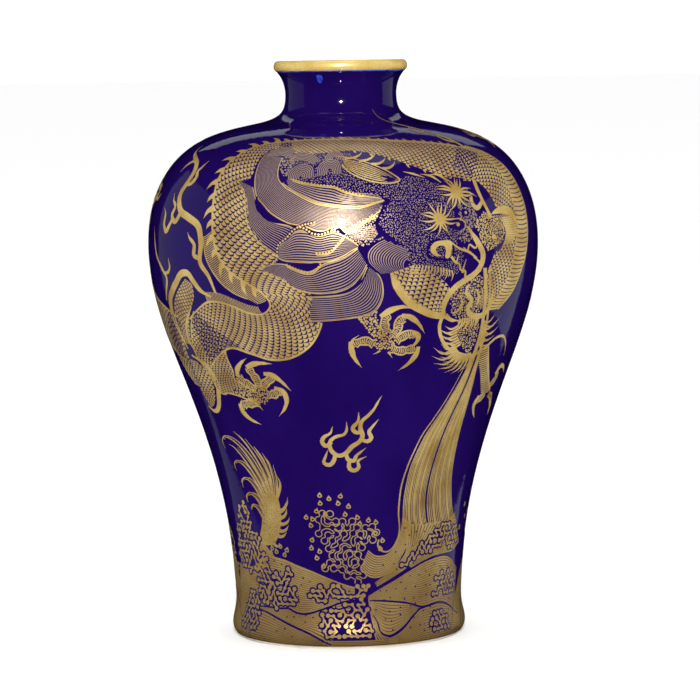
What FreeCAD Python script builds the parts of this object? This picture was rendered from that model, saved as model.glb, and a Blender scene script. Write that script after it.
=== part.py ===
"""Shouldered vase in cobalt-glazed porcelain with a gilt lip, in millimetres.

The origin is the centre of the foot ring's resting face, and +Z runs up the axis of rotation.
The porcelain was thrown as three sections (lower body with foot, upper body, neck with lip), which are
luted end to end with rings of slip. Three glaze coats lie on it: cobalt outside, clear inside, and
clear under the base. The gilding of the lip lies between the upper edges of the two large coats.
Every piece is a body of revolution, and pieces that touch share one and the same curve.
"""
import FreeCAD
import Part
import math
import os

# ---- driving dimensions -------------------------------------------------------------------------
HEIGHT = 350.0  # foot ring to the top of the lip
GLAZE = 0.5  # thickness of the cobalt coat, and of the gilt lip that continues it
CLEAR_GLAZE = 0.4  # thickness of the clear coats inside and under the base
WALL = 5.0  # porcelain wall of the body

FOOT_INNER_R = 58.0  # inside of the foot ring
FOOT_FACE_OUTER_R = 67.0  # outer edge of the flat resting face
FOOT_RECESS = 7.0  # depth of the hollow under the base
FOOT_FILLET = 2.5  # where the hollow's wall meets the underside of the base
GLAZE_LINE_Z = 2.0  # the cobalt coat stops here, clear of the resting face
FLOOR_Z = 14.0  # top of the porcelain floor inside
FLOOR_R = 50.0  # flat part of that floor

BORE_R = 28.5  # clear way through the neck, glaze to glaze
BORE_LOW_Z = 319.0
BORE_HIGH_Z = 337.0

WAIST_JOINT_Z = 152.0  # lower body to upper body
NECK_JOINT_Z = 314.0  # upper body to neck
LUTING = 1.2  # thickness of a ring of slip

GILT_LINE_Z = 343.8  # lower edge of the gilt lip outside
LIP_TOP_R = 36.6  # crest of the lip
GILT_INNER_Z = 341.0  # lower edge of the gilt lip inside the mouth

# Outer line of the glazed body, foot to lip, as (radius, height).
BODY_LINE = [
    (69.6, GLAZE_LINE_Z),
    (71.1, 5.5),
    (69.7, 16.0),
    (69.4, 32.0),
    (71.4, 56.0),
    (80.8, 104.5),
    (96.6, 153.0),
    (113.2, 201.0),
    (118.7, 239.0),
    (113.8, 269.5),
    (98.3, 293.5),
    (79.0, 305.2),
    (53.0, 312.0),
    (42.0, 315.0),
    (36.2, 319.0),
    (33.9, 326.0),
    (34.1, 333.5),
    (36.0, 339.3),
    (39.5, GILT_LINE_Z),
]
# Outer line of the gilt lip, from the glaze's edge over the crest and down into the mouth.
LIP_LINE = [
    (39.5, GILT_LINE_Z),
    (40.6, 346.9),
    (39.4, 349.4),
    (LIP_TOP_R, HEIGHT),
    (33.0, 348.2),
    (30.6, 344.8),
    (29.2, GILT_INNER_Z),
]
# Stations of BODY_LINE that the inside follows at the wall's thickness, and the throat under the neck.
FIRST_WALL_STATION = 5
LAST_WALL_STATION = 11
HEEL_LINE = [(57.8, 16.6), (62.9, 24.5), (64.6, 38.0), (66.3, 56.0)]
THROAT_LINE = [(64.0, 303.5), (52.0, 306.0), (41.0, 309.3), (33.4, 313.6)]


def point(r, z):
    return FreeCAD.Vector(r, 0, z)


def spline(stations):
    """A smooth curve through (radius, height) stations."""
    curve = Part.BSplineCurve()
    curve.interpolate([point(r, z) for r, z in stations])
    return curve


def offset(stations, distance):
    """The stations moved by distance to the left of the curve through them, which is the porcelain's side."""
    curve = spline(stations)
    moved = []
    for r, z in stations:
        tangent = curve.tangent(curve.parameter(point(r, z)))[0]
        moved.append((r - tangent.z * distance, z + tangent.x * distance))
    return moved


def line(a, b):
    return Part.makeLine(point(*a), point(*b))


def turned(edges):
    """The solid of revolution whose half section is bounded by the edges."""
    face = Part.Face(Part.Wire(Part.__sortEdges__(edges)))
    return face.revolve(FreeCAD.Vector(0, 0, 0), FreeCAD.Vector(0, 0, 1), 360)


def slab(low, high):
    """A disc wider than the vase, to cut one section out of the whole porcelain."""
    return Part.makeCylinder(2 * HEIGHT, high - low, FreeCAD.Vector(0, 0, low))


# ---- shared curves ------------------------------------------------------------------------------
glaze_outside = spline(BODY_LINE)
biscuit_stations = offset(BODY_LINE, GLAZE)
biscuit_outside = spline(biscuit_stations)
lip_outside = spline(LIP_LINE)
lip_core_stations = offset(LIP_LINE, GLAZE)
lip_core_stations[0] = biscuit_stations[-1]
lip_core = spline(lip_core_stations)

wall_stations = offset(BODY_LINE, GLAZE + WALL)[FIRST_WALL_STATION : LAST_WALL_STATION + 1]
biscuit_bore = BORE_R + CLEAR_GLAZE
inside_stations = (
    [(FLOOR_R, FLOOR_Z)] + HEEL_LINE + wall_stations + THROAT_LINE + [(biscuit_bore, BORE_LOW_Z)]
)


biscuit_inside = spline(inside_stations)

# The clear coat follows that line, level with the floor at one end and with the bore at the other.
lining_stations = offset(inside_stations, CLEAR_GLAZE)
lining_stations[0] = (FLOOR_R, FLOOR_Z + CLEAR_GLAZE)
lining_stations[-1] = (BORE_R, BORE_LOW_Z)
lining_inside = spline(lining_stations)

# The mouth above the bore widens to the gilding's inner edge.
bore_top = (BORE_R, BORE_HIGH_Z)
biscuit_bore_top = (biscuit_bore, BORE_HIGH_Z)
gilt_inner_edge = LIP_LINE[-1]
core_inner_edge = lip_core_stations[-1]


# ---- porcelain ----------------------------------------------------------------------------------
def porcelain():
    """The whole fired wall, before it is divided into its thrown sections."""
    foot_outer = biscuit_stations[0]
    floor_edge = inside_stations[0]
    recess_corner_out = (FOOT_INNER_R, FOOT_RECESS - FOOT_FILLET)
    recess_corner_in = (FOOT_INNER_R - FOOT_FILLET, FOOT_RECESS)
    corner_middle = (
        FOOT_INNER_R - FOOT_FILLET * (1 - math.cos(math.pi / 4)),
        FOOT_RECESS - FOOT_FILLET * (1 - math.sin(math.pi / 4)),
    )
    edges = [
        line((0, FOOT_RECESS), recess_corner_in),
        Part.Arc(point(*recess_corner_in), point(*corner_middle), point(*recess_corner_out)).toShape(),
        line(recess_corner_out, (FOOT_INNER_R, 0)),
        line((FOOT_INNER_R, 0), (FOOT_FACE_OUTER_R, 0)),
        line((FOOT_FACE_OUTER_R, 0), foot_outer),
        biscuit_outside.toShape(),
        lip_core.toShape(),
        line(core_inner_edge, biscuit_bore_top),
        line(biscuit_bore_top, (biscuit_bore, BORE_LOW_Z)),
        biscuit_inside.toShape(),
        line(floor_edge, (0, FLOOR_Z)),
        line((0, FLOOR_Z), (0, FOOT_RECESS)),
    ]
    return turned(edges)


def sections():
    """The three thrown sections and the two rings of slip between them."""
    whole = porcelain()
    half = LUTING / 2
    cuts = [
        ("lower_body", 0, WAIST_JOINT_Z - half),
        ("waist_luting", WAIST_JOINT_Z - half, WAIST_JOINT_Z + half),
        ("upper_body", WAIST_JOINT_Z + half, NECK_JOINT_Z - half),
        ("neck_luting", NECK_JOINT_Z - half, NECK_JOINT_Z + half),
        ("neck_and_lip", NECK_JOINT_Z + half, HEIGHT),
    ]
    return {name: whole.common(slab(low, high)) for name, low, high in cuts}


# ---- coats --------------------------------------------------------------------------------------
def cobalt_glaze():
    """The blue coat, from just above the resting face to the lower edge of the gilt lip."""
    return turned(
        [
            glaze_outside.toShape(),
            line(BODY_LINE[-1], biscuit_stations[-1]),
            biscuit_outside.toShape(),
            line(biscuit_stations[0], BODY_LINE[0]),
        ]
    )


def gilt_lip():
    """The burnished gold over the lip, a skin from the cobalt coat's edge into the mouth."""
    return turned(
        [
            lip_outside.toShape(),
            line(gilt_inner_edge, core_inner_edge),
            lip_core.toShape(),
            line(lip_core_stations[0], LIP_LINE[0]),
        ]
    )


def liner_glaze():
    """The clear coat over the floor, up the inside of the wall and through the neck to the gilding."""
    return turned(
        [
            line((0, FLOOR_Z), inside_stations[0]),
            biscuit_inside.toShape(),
            line((biscuit_bore, BORE_LOW_Z), biscuit_bore_top),
            line(biscuit_bore_top, core_inner_edge),
            line(core_inner_edge, gilt_inner_edge),
            line(gilt_inner_edge, bore_top),
            line(bore_top, (BORE_R, BORE_LOW_Z)),
            lining_inside.toShape(),
            line(lining_stations[0], (0, FLOOR_Z + CLEAR_GLAZE)),
            line((0, FLOOR_Z + CLEAR_GLAZE), (0, FLOOR_Z)),
        ]
    )


def base_glaze():
    """The clear coat under the base, inside the foot ring."""
    radius = FOOT_INNER_R - FOOT_FILLET
    return Part.makeCylinder(radius, CLEAR_GLAZE, FreeCAD.Vector(0, 0, FOOT_RECESS - CLEAR_GLAZE))


def main():
    os.makedirs("parts", exist_ok=True)
    nodes = sections()
    nodes["cobalt_glaze"] = cobalt_glaze()
    nodes["gilt_lip"] = gilt_lip()
    nodes["liner_glaze"] = liner_glaze()
    nodes["base_glaze"] = base_glaze()
    for name, shape in nodes.items():
        box = shape.BoundBox
        print(
            f"{name:14s} valid {shape.isValid()} solids {len(shape.Solids)} "
            f"volume {shape.Volume / 1000:8.2f} cm3  z {box.ZMin:7.2f} to {box.ZMax:7.2f}  r {box.XMax:7.2f}"
        )
        shape.exportStep(f"parts/{name}.step")


main()
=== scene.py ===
import math

import bpy
import numpy as np
from mathutils import Matrix, Vector
from mathutils.geometry import delaunay_2d_cdt


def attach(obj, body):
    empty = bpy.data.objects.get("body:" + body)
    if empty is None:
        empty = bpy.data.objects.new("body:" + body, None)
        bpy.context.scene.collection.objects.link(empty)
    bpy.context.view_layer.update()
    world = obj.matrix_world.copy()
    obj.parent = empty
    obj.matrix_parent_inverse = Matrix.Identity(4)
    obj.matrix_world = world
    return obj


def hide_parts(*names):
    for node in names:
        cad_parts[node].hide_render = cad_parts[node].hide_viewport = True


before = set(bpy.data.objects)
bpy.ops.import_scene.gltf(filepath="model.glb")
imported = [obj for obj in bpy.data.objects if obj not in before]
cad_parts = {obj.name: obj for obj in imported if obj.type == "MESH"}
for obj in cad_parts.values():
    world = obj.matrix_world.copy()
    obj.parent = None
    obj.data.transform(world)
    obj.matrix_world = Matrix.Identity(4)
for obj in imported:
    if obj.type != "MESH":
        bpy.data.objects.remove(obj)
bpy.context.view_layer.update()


# ---- Glazed wall -----------------------------------------------------------------------------
# The outer coat of cobalt glaze over the thrown porcelain. It runs a little in the kiln, so its
# colour drifts and its gloss has a faint ripple. It is turned here on the line of the frame's own
# glaze, as one smooth sheet that is then given its thickness.

COAT_THICKNESS = 0.0004
GLAZE_RINGS = 205
GLAZE_MERIDIANS = 224
PROFILE_STEP = 0.0005
MERIDIAN_STEP = 0.001
MM = 0.001


def outer_line(node):
    """The (radius, height) stations of a turned node's outer face, from the bottom up."""
    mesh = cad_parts[node].data
    found = {}
    for face in mesh.polygons:
        across = math.hypot(face.center.x, face.center.y)
        outward = (face.normal.x * face.center.x + face.normal.y * face.center.y) / across
        if outward > 0.05:
            for index in face.vertices:
                spot = mesh.vertices[index].co
                found[round(spot.z, 6)] = math.hypot(spot.x, spot.y)
    return [(found[height], height) for height in sorted(found)]


def smooth_line(points, step, closed=False):
    """A smooth line through points, as places about a step apart."""
    points = np.array(points, float)
    if closed:
        points = np.vstack([points[-1:], points, points[:2]])
    else:
        points = np.vstack([2 * points[0] - points[1], points, 2 * points[-1] - points[-2]])
    out = []
    for before, start, end, after in zip(points, points[1:], points[2:], points[3:]):
        count = max(1, int(math.ceil(np.linalg.norm(end - start) / step)))
        t = (np.arange(count) / count)[:, None]
        out.append(0.5 * (2 * start + (end - before) * t
                          + (2 * before - 5 * start + 4 * end - after) * t ** 2
                          + (3 * start - before - 3 * end + after) * t ** 3))
    out.append(points[-2:-1])
    return np.vstack(out[:-1] if closed else out)


def spaced(line, step):
    """The places along a line that are one even step apart, with both its ends."""
    run = np.concatenate([[0], np.cumsum(np.linalg.norm(np.diff(line, axis=0), axis=1))])
    at = np.linspace(0, run[-1], max(2, int(round(run[-1] / step)) + 1))
    return np.column_stack([np.interp(at, run, column) for column in line.T])


def curve_object(name, points):
    """A hidden guide curve through the points."""
    data = bpy.data.curves.new(name, "CURVE")
    data.dimensions = "3D"
    spline = data.splines.new("POLY")
    spline.points.add(len(points) - 1)
    spline.points.foreach_set("co", np.column_stack([points, np.ones(len(points))]).ravel())
    guide = bpy.data.objects.new(name, data)
    bpy.context.scene.collection.objects.link(guide)
    return guide


def start_tree(name, sockets):
    """A Geometry Nodes tree with named inputs, and its input and output nodes."""
    tree = bpy.data.node_groups.new(name, "GeometryNodeTree")
    face = tree.interface
    face.new_socket("Geometry", in_out="INPUT", socket_type="NodeSocketGeometry")
    for label, kind in sockets.items():
        face.new_socket(label, in_out="INPUT", socket_type="NodeSocket" + kind)
    face.new_socket("Geometry", in_out="OUTPUT", socket_type="NodeSocketGeometry")
    return tree, tree.nodes.new("NodeGroupInput"), tree.nodes.new("NodeGroupOutput")


def lay(tree, kind, feeds=None, **settings):
    """Puts a node in a tree with its settings, and feeds its inputs with values or sockets."""
    node = tree.nodes.new(kind)
    for key, value in settings.items():
        setattr(node, key, value)
    for socket, source in (feeds or {}).items():
        if isinstance(source, bpy.types.NodeSocket):
            tree.links.new(source, node.inputs[socket])
        else:
            node.inputs[socket].default_value = source
    return node


def sums(tree, operation, first, second):
    """One line of arithmetic in a tree."""
    return lay(tree, "ShaderNodeMath", {0: first, 1: second}, operation=operation).outputs[0]


def onto_glaze(tree, chart, meridian):
    """Turns a chart place (angle round, length up the wall, lift) into a place on the vase."""
    flat = lay(tree, "ShaderNodeSeparateXYZ", {0: chart})
    line = lay(tree, "GeometryNodeObjectInfo", {"Object": meridian})
    at = lay(tree, "GeometryNodeSampleCurve",
             {"Curves": line.outputs["Geometry"], "Length": flat.outputs["Y"]}, mode="LENGTH")
    place = lay(tree, "ShaderNodeSeparateXYZ", {0: at.outputs["Position"]})
    along = lay(tree, "ShaderNodeSeparateXYZ", {0: at.outputs["Tangent"]})
    lift = flat.outputs["Z"]
    radius = sums(tree, "ADD", place.outputs["X"],
                  sums(tree, "MULTIPLY", lift, along.outputs["Z"]))
    height = sums(tree, "SUBTRACT", place.outputs["Z"],
                  sums(tree, "MULTIPLY", lift, along.outputs["X"]))
    side = sums(tree, "MULTIPLY", radius, sums(tree, "SINE", flat.outputs["X"], 0.0))
    front = sums(tree, "MULTIPLY", radius, sums(tree, "COSINE", flat.outputs["X"], 0.0))
    back = sums(tree, "MULTIPLY", front, -1.0)
    return lay(tree, "ShaderNodeCombineXYZ",
               {"X": side, "Y": back, "Z": height}).outputs["Vector"]


def finish_tree(tree, outlet, shape, finish):
    """Ends a tree with real geometry in its finish."""
    real = lay(tree, "GeometryNodeRealizeInstances", {"Geometry": shape})
    coated = lay(tree, "GeometryNodeSetMaterial",
                 {"Geometry": real.outputs["Geometry"], "Material": finish})
    tree.links.new(coated.outputs["Geometry"], outlet.inputs["Geometry"])


def run_tree(name, tree, values, mesh=None):
    """Runs a tree on a mesh and keeps what it makes as a piece's own plain mesh."""
    piece = bpy.data.objects.new(name, mesh or bpy.data.meshes.new(name))
    bpy.context.scene.collection.objects.link(piece)
    modifier = piece.modifiers.new("make", "NODES")
    modifier.node_group = tree
    for socket in tree.interface.items_tree:
        if socket.in_out == "INPUT" and socket.name in values:
            modifier[socket.identifier] = values[socket.name]
    ready = piece.evaluated_get(bpy.context.evaluated_depsgraph_get())
    made = bpy.data.meshes.new_from_object(ready)
    made.name = name
    piece.modifiers.clear()
    piece.data = made
    return piece


def new_finish(name):
    """A material with an empty tree but for its shader."""
    finish = bpy.data.materials.new(name)
    finish.use_nodes = True
    return finish, finish.node_tree, finish.node_tree.nodes["Principled BSDF"]


def speckle(tree, size, detail=3.0, stretch=(1, 1, 1), low=0.35, high=0.65):
    """Noise on the object's own coordinates, as a value from 0 to 1. The size is in metres."""
    place = lay(tree, "ShaderNodeTexCoord")
    turned = lay(tree, "ShaderNodeMapping", {"Vector": place.outputs["Object"], "Scale": stretch})
    noise = lay(tree, "ShaderNodeTexNoise",
                {"Vector": turned.outputs["Vector"], "Scale": 1 / size, "Detail": detail})
    ramp = lay(tree, "ShaderNodeMapRange",
               {"Value": noise.outputs[0], "From Min": low, "From Max": high})
    return ramp.outputs["Result"]


def blended(tree, share, first, second):
    """A colour between two, by a share from 0 to 1."""
    mix = lay(tree, "ShaderNodeMix", {0: share, 6: first, 7: second}, data_type="RGBA")
    return mix.outputs[2]


def ranged(tree, share, low, high):
    """A number between two, by a share from 0 to 1."""
    return lay(tree, "ShaderNodeMapRange",
               {"Value": share, "To Min": low, "To Max": high}).outputs["Result"]


def bumped(tree, shader, height, distance):
    """Raises and lowers a finish by a height pattern."""
    bump = lay(tree, "ShaderNodeBump",
               {"Height": height, "Distance": distance, "Strength": 1.0})
    tree.links.new(bump.outputs["Normal"], shader.inputs["Normal"])


def cobalt_finish():
    """Deep cobalt glaze: glossy, with faint pooling and pinholes."""
    finish, tree, shader = new_finish("cobalt glaze")
    drift = speckle(tree, 0.035, 4.0, (1, 1, 0.5))
    grain = speckle(tree, 0.0009, 2.0)
    deep = blended(tree, drift, (0.0054, 0.0010, 0.043, 1), (0.0078, 0.0016, 0.056, 1))
    colour = blended(tree, sums(tree, "MULTIPLY", grain, 0.18), deep, (0.012, 0.003, 0.080, 1))
    tree.links.new(colour, shader.inputs["Base Color"])
    tree.links.new(ranged(tree, drift, 0.035, 0.075), shader.inputs["Roughness"])
    shader.inputs["IOR"].default_value = 1.48
    ripple = speckle(tree, 0.006, 2.0)
    bumped(tree, shader, sums(tree, "ADD", ripple, sums(tree, "MULTIPLY", grain, 0.10)), 0.00002)
    return finish


def turned_wall_tree():
    """A sheet wrapped round the vase along its meridian, closed where its edges meet."""
    tree, inlet, outlet = start_tree("turned glaze", {
        "Meridian": "Object", "Length": "Float", "Rings": "Int", "Meridians": "Int",
        "Finish": "Material"})
    sheet = lay(tree, "GeometryNodeMeshGrid", {
        "Size X": 2 * math.pi, "Size Y": inlet.outputs["Length"],
        "Vertices X": inlet.outputs["Meridians"], "Vertices Y": inlet.outputs["Rings"]})
    half = sums(tree, "MULTIPLY", inlet.outputs["Length"], 0.5)
    raised = lay(tree, "ShaderNodeVectorMath", {
        0: lay(tree, "GeometryNodeInputPosition").outputs[0],
        1: lay(tree, "ShaderNodeCombineXYZ", {"Y": half}).outputs[0]}, operation="ADD")
    wrapped = lay(tree, "GeometryNodeSetPosition", {
        "Geometry": sheet.outputs["Mesh"],
        "Position": onto_glaze(tree, raised.outputs[0], inlet.outputs["Meridian"])})
    closed = lay(tree, "GeometryNodeMergeByDistance", {
        "Geometry": wrapped.outputs["Geometry"], "Distance": 0.00001})
    smooth = lay(tree, "GeometryNodeSetShadeSmooth", {"Geometry": closed.outputs["Geometry"]})
    finish_tree(tree, outlet, smooth.outputs[0], inlet.outputs["Finish"])
    return tree


meridian_points = spaced(smooth_line(outer_line("cobalt_glaze"), PROFILE_STEP), MERIDIAN_STEP)
WALL_RUN = np.concatenate(
    [[0], np.cumsum(np.linalg.norm(np.diff(meridian_points, axis=0), axis=1))])
WALL_LENGTH = WALL_RUN[-1]
meridian = curve_object(
    "glaze_meridian",
    np.column_stack([meridian_points[:, 0], np.zeros(len(meridian_points)), meridian_points[:, 1]]))
cobalt = cobalt_finish()
glazed_wall = run_tree("glazed_wall", turned_wall_tree(), {
    "Meridian": meridian, "Length": float(WALL_LENGTH), "Rings": GLAZE_RINGS,
    "Meridians": GLAZE_MERIDIANS + 1, "Finish": cobalt})
coat = glazed_wall.modifiers.new("coat", "SOLIDIFY")
coat.thickness = COAT_THICKNESS
coat.offset = -1.0
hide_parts("cobalt_glaze")
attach(glazed_wall, "root")

# ---- Dragon's body ---------------------------------------------------------------------------
# The picture is fired gold, a thin film brushed over the glaze. The long scaled body winds over
# the shoulder and down both sides: sheets of gold, with a crescent of cobalt under each scale and
# plates along the belly.

# Gilding is drawn flat on a chart of the wall, in degrees round from the front and millimetres up
# the wall, and then laid on the glaze. Lifts are in millimetres over it, and the heights of the
# painted shade on the gold, at the foot and over the shoulder, are in metres up.
DEG = math.radians(1.0)
FILM_LIFT = 0.12
CRESCENT_LIFT = FILM_LIFT + 0.035
OUTLINE_LIFT = FILM_LIFT + 0.05
PARTING_LIFT = FILM_LIFT + 0.09
# Painted shade: the gold is darkened towards the foot below the first height, and over the top of
# the shoulder between the next two.
FOOT_SHADE_HEIGHT = 0.13
SHOULDER_SHADE_HEIGHTS = (0.286, 0.306)
FILL_GRAIN = 3.5
SHEET_GRAIN = 1.3
SCALE_WIDE = 4.0
SCALE_HIGH = 1.95
CRESCENT_STEPS = 6
patterns = []
cut_tiles = {}
crescents = []


def across(run):
    """Millimetres to a degree round the wall, at a length up it."""
    return np.interp(np.asarray(run) * MM, WALL_RUN, meridian_points[:, 0]) / MM * DEG


def course(points, step=1.2, closed=False):
    """A smooth line through chart points, as places an even step of millimetres apart."""
    points = np.array(points, float)
    stretch = np.array([float(across(points[:, 1].mean())), 1.0])
    line = smooth_line(points * stretch, step, closed)
    return line / stretch if closed else spaced(line, step) / stretch


def chart(points, lift=0.0):
    """Chart points in the units of the wall: radians, metres and metres of lift."""
    points = np.asarray(points, float)
    return np.column_stack([points[:, 0] * DEG, points[:, 1] * MM,
                            np.full(len(points), lift * MM)])


def inside(outline, spots):
    """Which of the spots lie inside an outline."""
    x, y = spots[:, 0][:, None], spots[:, 1][:, None]
    x0, y0 = outline[:, 0][None], outline[:, 1][None]
    x1, y1 = np.roll(outline[:, 0], -1)[None], np.roll(outline[:, 1], -1)[None]
    rise = np.where(y1 == y0, 1e-12, y1 - y0)
    crossing = ((y0 > y) != (y1 > y)) & (x < (x1 - x0) * (y - y0) / rise + x0)
    return crossing.sum(axis=1) % 2 == 1


def smooth_steps(values, count):
    """Values spread evenly over a length, eased between one another."""
    values = np.atleast_1d(np.asarray(values, float))
    if len(values) == 1:
        return np.full(count, values[0])
    at = np.linspace(0, len(values) - 1, count)
    low = np.minimum(at.astype(int), len(values) - 2)
    part = at - low
    part = part * part * (3 - 2 * part)
    return values[low] * (1 - part) + values[low + 1] * part


class Drawing:
    """Gilding drawn on the chart."""

    def __init__(self, lift=FILM_LIFT):
        self.spots, self.faces, self.count, self.lift = [], [], 0, lift

    def add(self, spots, faces):
        """Adds points and the faces between them."""
        self.spots.append(np.asarray(spots, float))
        self.faces.extend(tuple(index + self.count for index in face) for face in faces)
        self.count += len(spots)

    def stroke(self, points, widths, step=1.2):
        """A brush stroke through points, with widths in mm spread along it."""
        line = course(points, step)
        metric = np.column_stack([across(line[:, 1]), np.ones(len(line))])
        way = np.gradient(line, axis=0) * metric
        way /= np.maximum(np.linalg.norm(way, axis=1), 1e-9)[:, None]
        half = smooth_steps(widths, len(line))[:, None] * 0.5 + 0.01
        side = np.column_stack([-way[:, 1], way[:, 0]]) * half / metric
        n = len(line)
        self.add(np.vstack([line + side, line - side]),
                 [(i, i + n, i + n + 1, i + 1) for i in range(n - 1)])

    def fill(self, outline, smooth=True):
        """A flat patch inside an outline, with a few points spread over it to follow the wall."""
        ring = course(outline, 1.2, True) if smooth else np.array(outline, float)
        low, high = ring.min(0), ring.max(0)
        wide = float(across((low[1] + high[1]) / 2))
        u, v = np.meshgrid(np.arange(low[0], high[0], FILL_GRAIN / wide),
                           np.arange(low[1], high[1], FILL_GRAIN))
        dots = np.column_stack([u.ravel(), v.ravel()])
        dots = dots[inside(ring, dots)] if len(dots) else dots
        edges = [(i, (i + 1) % len(ring)) for i in range(len(ring))]
        flat = [Vector((x * wide, y)) for x, y in ring.tolist() + dots.tolist()]
        done = delaunay_2d_cdt(flat, edges, [], 0, 1e-5)
        made = np.array([(p.x / wide, p.y) for p in done[0]])
        faces = np.array(done[2])
        kept = inside(ring, made[faces].mean(axis=1))
        self.add(made, [tuple(face) for face in faces[kept]])

    def mesh(self, name):
        """The drawing as a mesh in chart units."""
        shape = bpy.data.meshes.new(name)
        shape.from_pydata(chart(np.vstack(self.spots), self.lift).tolist(), [], self.faces)
        return shape


def gold_finish(name, deep, bright):
    """Fired gold: soft burnish, fine brush grain that shows it thin in places, and painted shade
    that turns it brown towards the foot and over the top of the shoulder."""
    finish, tree, shader = new_finish(name)
    place = lay(tree, "ShaderNodeTexCoord")
    height = lay(tree, "ShaderNodeSeparateXYZ", {0: place.outputs["Object"]}).outputs["Z"]
    # Painted shade, darker towards the foot.
    foot_shade = lay(tree, "ShaderNodeMapRange", {
        "Value": height, "From Min": FOOT_SHADE_HEIGHT, "From Max": 0.0,
        "To Max": 0.9}).outputs["Result"]
    cloud = speckle(tree, 0.016, 4.0)
    grain = speckle(tree, 0.0007, 3.0)
    rich = blended(tree, cloud, deep, bright)
    thin = blended(tree, sums(tree, "MULTIPLY", grain, 0.35), rich, (0.52, 0.31, 0.08, 1))
    # Painted shade, darker over the top of the shoulder.
    shoulder_shade = lay(tree, "ShaderNodeMapRange", {
        "Value": height, "From Min": SHOULDER_SHADE_HEIGHTS[0], "From Max": SHOULDER_SHADE_HEIGHTS[1],
        "To Max": 0.85}).outputs["Result"]
    # Both painted shades turn the gold a dark brown.
    shaded_gold = blended(tree, sums(tree, "ADD", foot_shade, shoulder_shade), thin, (0.28, 0.165, 0.045, 1))
    tree.links.new(shaded_gold, shader.inputs["Base Color"])
    shader.inputs["Metallic"].default_value = 0.66
    tree.links.new(ranged(tree, grain, 0.30, 0.46), shader.inputs["Roughness"])
    bumped(tree, shader, sums(tree, "ADD", grain, sums(tree, "MULTIPLY", cloud, 0.4)), 0.00003)
    return finish


def laid_tree():
    """A flat drawing laid on the glaze."""
    tree, inlet, outlet = start_tree("gilding laid on glaze", {
        "Meridian": "Object", "Finish": "Material"})
    laid = lay(tree, "GeometryNodeSetPosition", {
        "Geometry": inlet.outputs["Geometry"],
        "Position": onto_glaze(tree, lay(tree, "GeometryNodeInputPosition").outputs[0],
                               inlet.outputs["Meridian"])})
    finish_tree(tree, outlet, laid.outputs["Geometry"], inlet.outputs["Finish"])
    return tree


def tiles_tree():
    """Tiles repeated in rows from one line to another, bent to fit between them."""
    tree, inlet, outlet = start_tree("tiles between two lines", {
        "First Line": "Object", "Second Line": "Object", "Tile": "Object", "Along": "Int",
        "Across": "Int", "Stagger": "Float", "Sway": "Float", "Lift": "Float", "Radius": "Float",
        "Meridian": "Object", "Finish": "Material"})
    last_along = sums(tree, "SUBTRACT", inlet.outputs["Along"], 1.0)
    last_across = sums(tree, "SUBTRACT", inlet.outputs["Across"], 1.0)
    seats = lay(tree, "GeometryNodeMeshGrid", {
        "Size X": last_along, "Size Y": last_across,
        "Vertices X": inlet.outputs["Along"], "Vertices Y": inlet.outputs["Across"]})
    seat = lay(tree, "ShaderNodeSeparateXYZ", {0: lay(tree, "GeometryNodeInputPosition").outputs[0]})
    row = lay(tree, "ShaderNodeMath", {0: sums(tree, "ADD", seat.outputs["Y"], sums(
        tree, "MULTIPLY", last_across, 0.5))}, operation="ROUND").outputs[0]
    odd = sums(tree, "MODULO", row, 2.0)
    slid = sums(tree, "MULTIPLY", sums(tree, "SUBTRACT", odd, 0.5), inlet.outputs["Stagger"])
    column = sums(tree, "ADD", seat.outputs["X"], sums(tree, "MULTIPLY", last_along, 0.5))
    odd_column = sums(tree, "MODULO", lay(tree, "ShaderNodeMath", {0: column},
                                          operation="ROUND").outputs[0], 2.0)
    swayed = sums(tree, "MULTIPLY", sums(tree, "SUBTRACT", odd_column, 0.5), inlet.outputs["Sway"])
    placed = lay(tree, "GeometryNodeSetPosition", {
        "Geometry": seats.outputs["Mesh"],
        "Position": lay(tree, "ShaderNodeCombineXYZ", {
            "X": sums(tree, "ADD", column, slid),
            "Y": sums(tree, "ADD", row, swayed)}).outputs[0]})
    tile = lay(tree, "GeometryNodeObjectInfo", {"Object": inlet.outputs["Tile"]})
    repeated = lay(tree, "GeometryNodeInstanceOnPoints", {
        "Points": placed.outputs["Geometry"], "Instance": tile.outputs["Geometry"]})
    real = lay(tree, "GeometryNodeRealizeInstances", {"Geometry": repeated.outputs["Instances"]})
    spot = lay(tree, "ShaderNodeSeparateXYZ", {0: lay(tree, "GeometryNodeInputPosition").outputs[0]})
    run = sums(tree, "DIVIDE", spot.outputs["X"], inlet.outputs["Along"])
    rise = sums(tree, "DIVIDE", spot.outputs["Y"], inlet.outputs["Across"])
    edges = []
    for label in ("First Line", "Second Line"):
        line = lay(tree, "GeometryNodeObjectInfo", {"Object": inlet.outputs[label]})
        edges.append(lay(tree, "GeometryNodeSampleCurve", {
            "Curves": line.outputs["Geometry"], "Factor": run}, mode="FACTOR").outputs["Position"])
    between = lay(tree, "ShaderNodeMix", {0: rise, 4: edges[0], 5: edges[1]},
                  data_type="VECTOR", clamp_factor=False)
    flat = lay(tree, "ShaderNodeSeparateXYZ", {0: between.outputs[1]})
    raised = lay(tree, "ShaderNodeCombineXYZ", {
        "X": sums(tree, "DIVIDE", flat.outputs["X"], inlet.outputs["Radius"]),
        "Y": flat.outputs["Y"], "Z": inlet.outputs["Lift"]})
    laid = lay(tree, "GeometryNodeSetPosition", {
        "Geometry": real.outputs["Geometry"],
        "Position": onto_glaze(tree, raised.outputs[0], inlet.outputs["Meridian"])})
    finish_tree(tree, outlet, laid.outputs["Geometry"], inlet.outputs["Finish"])
    return tree


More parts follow.
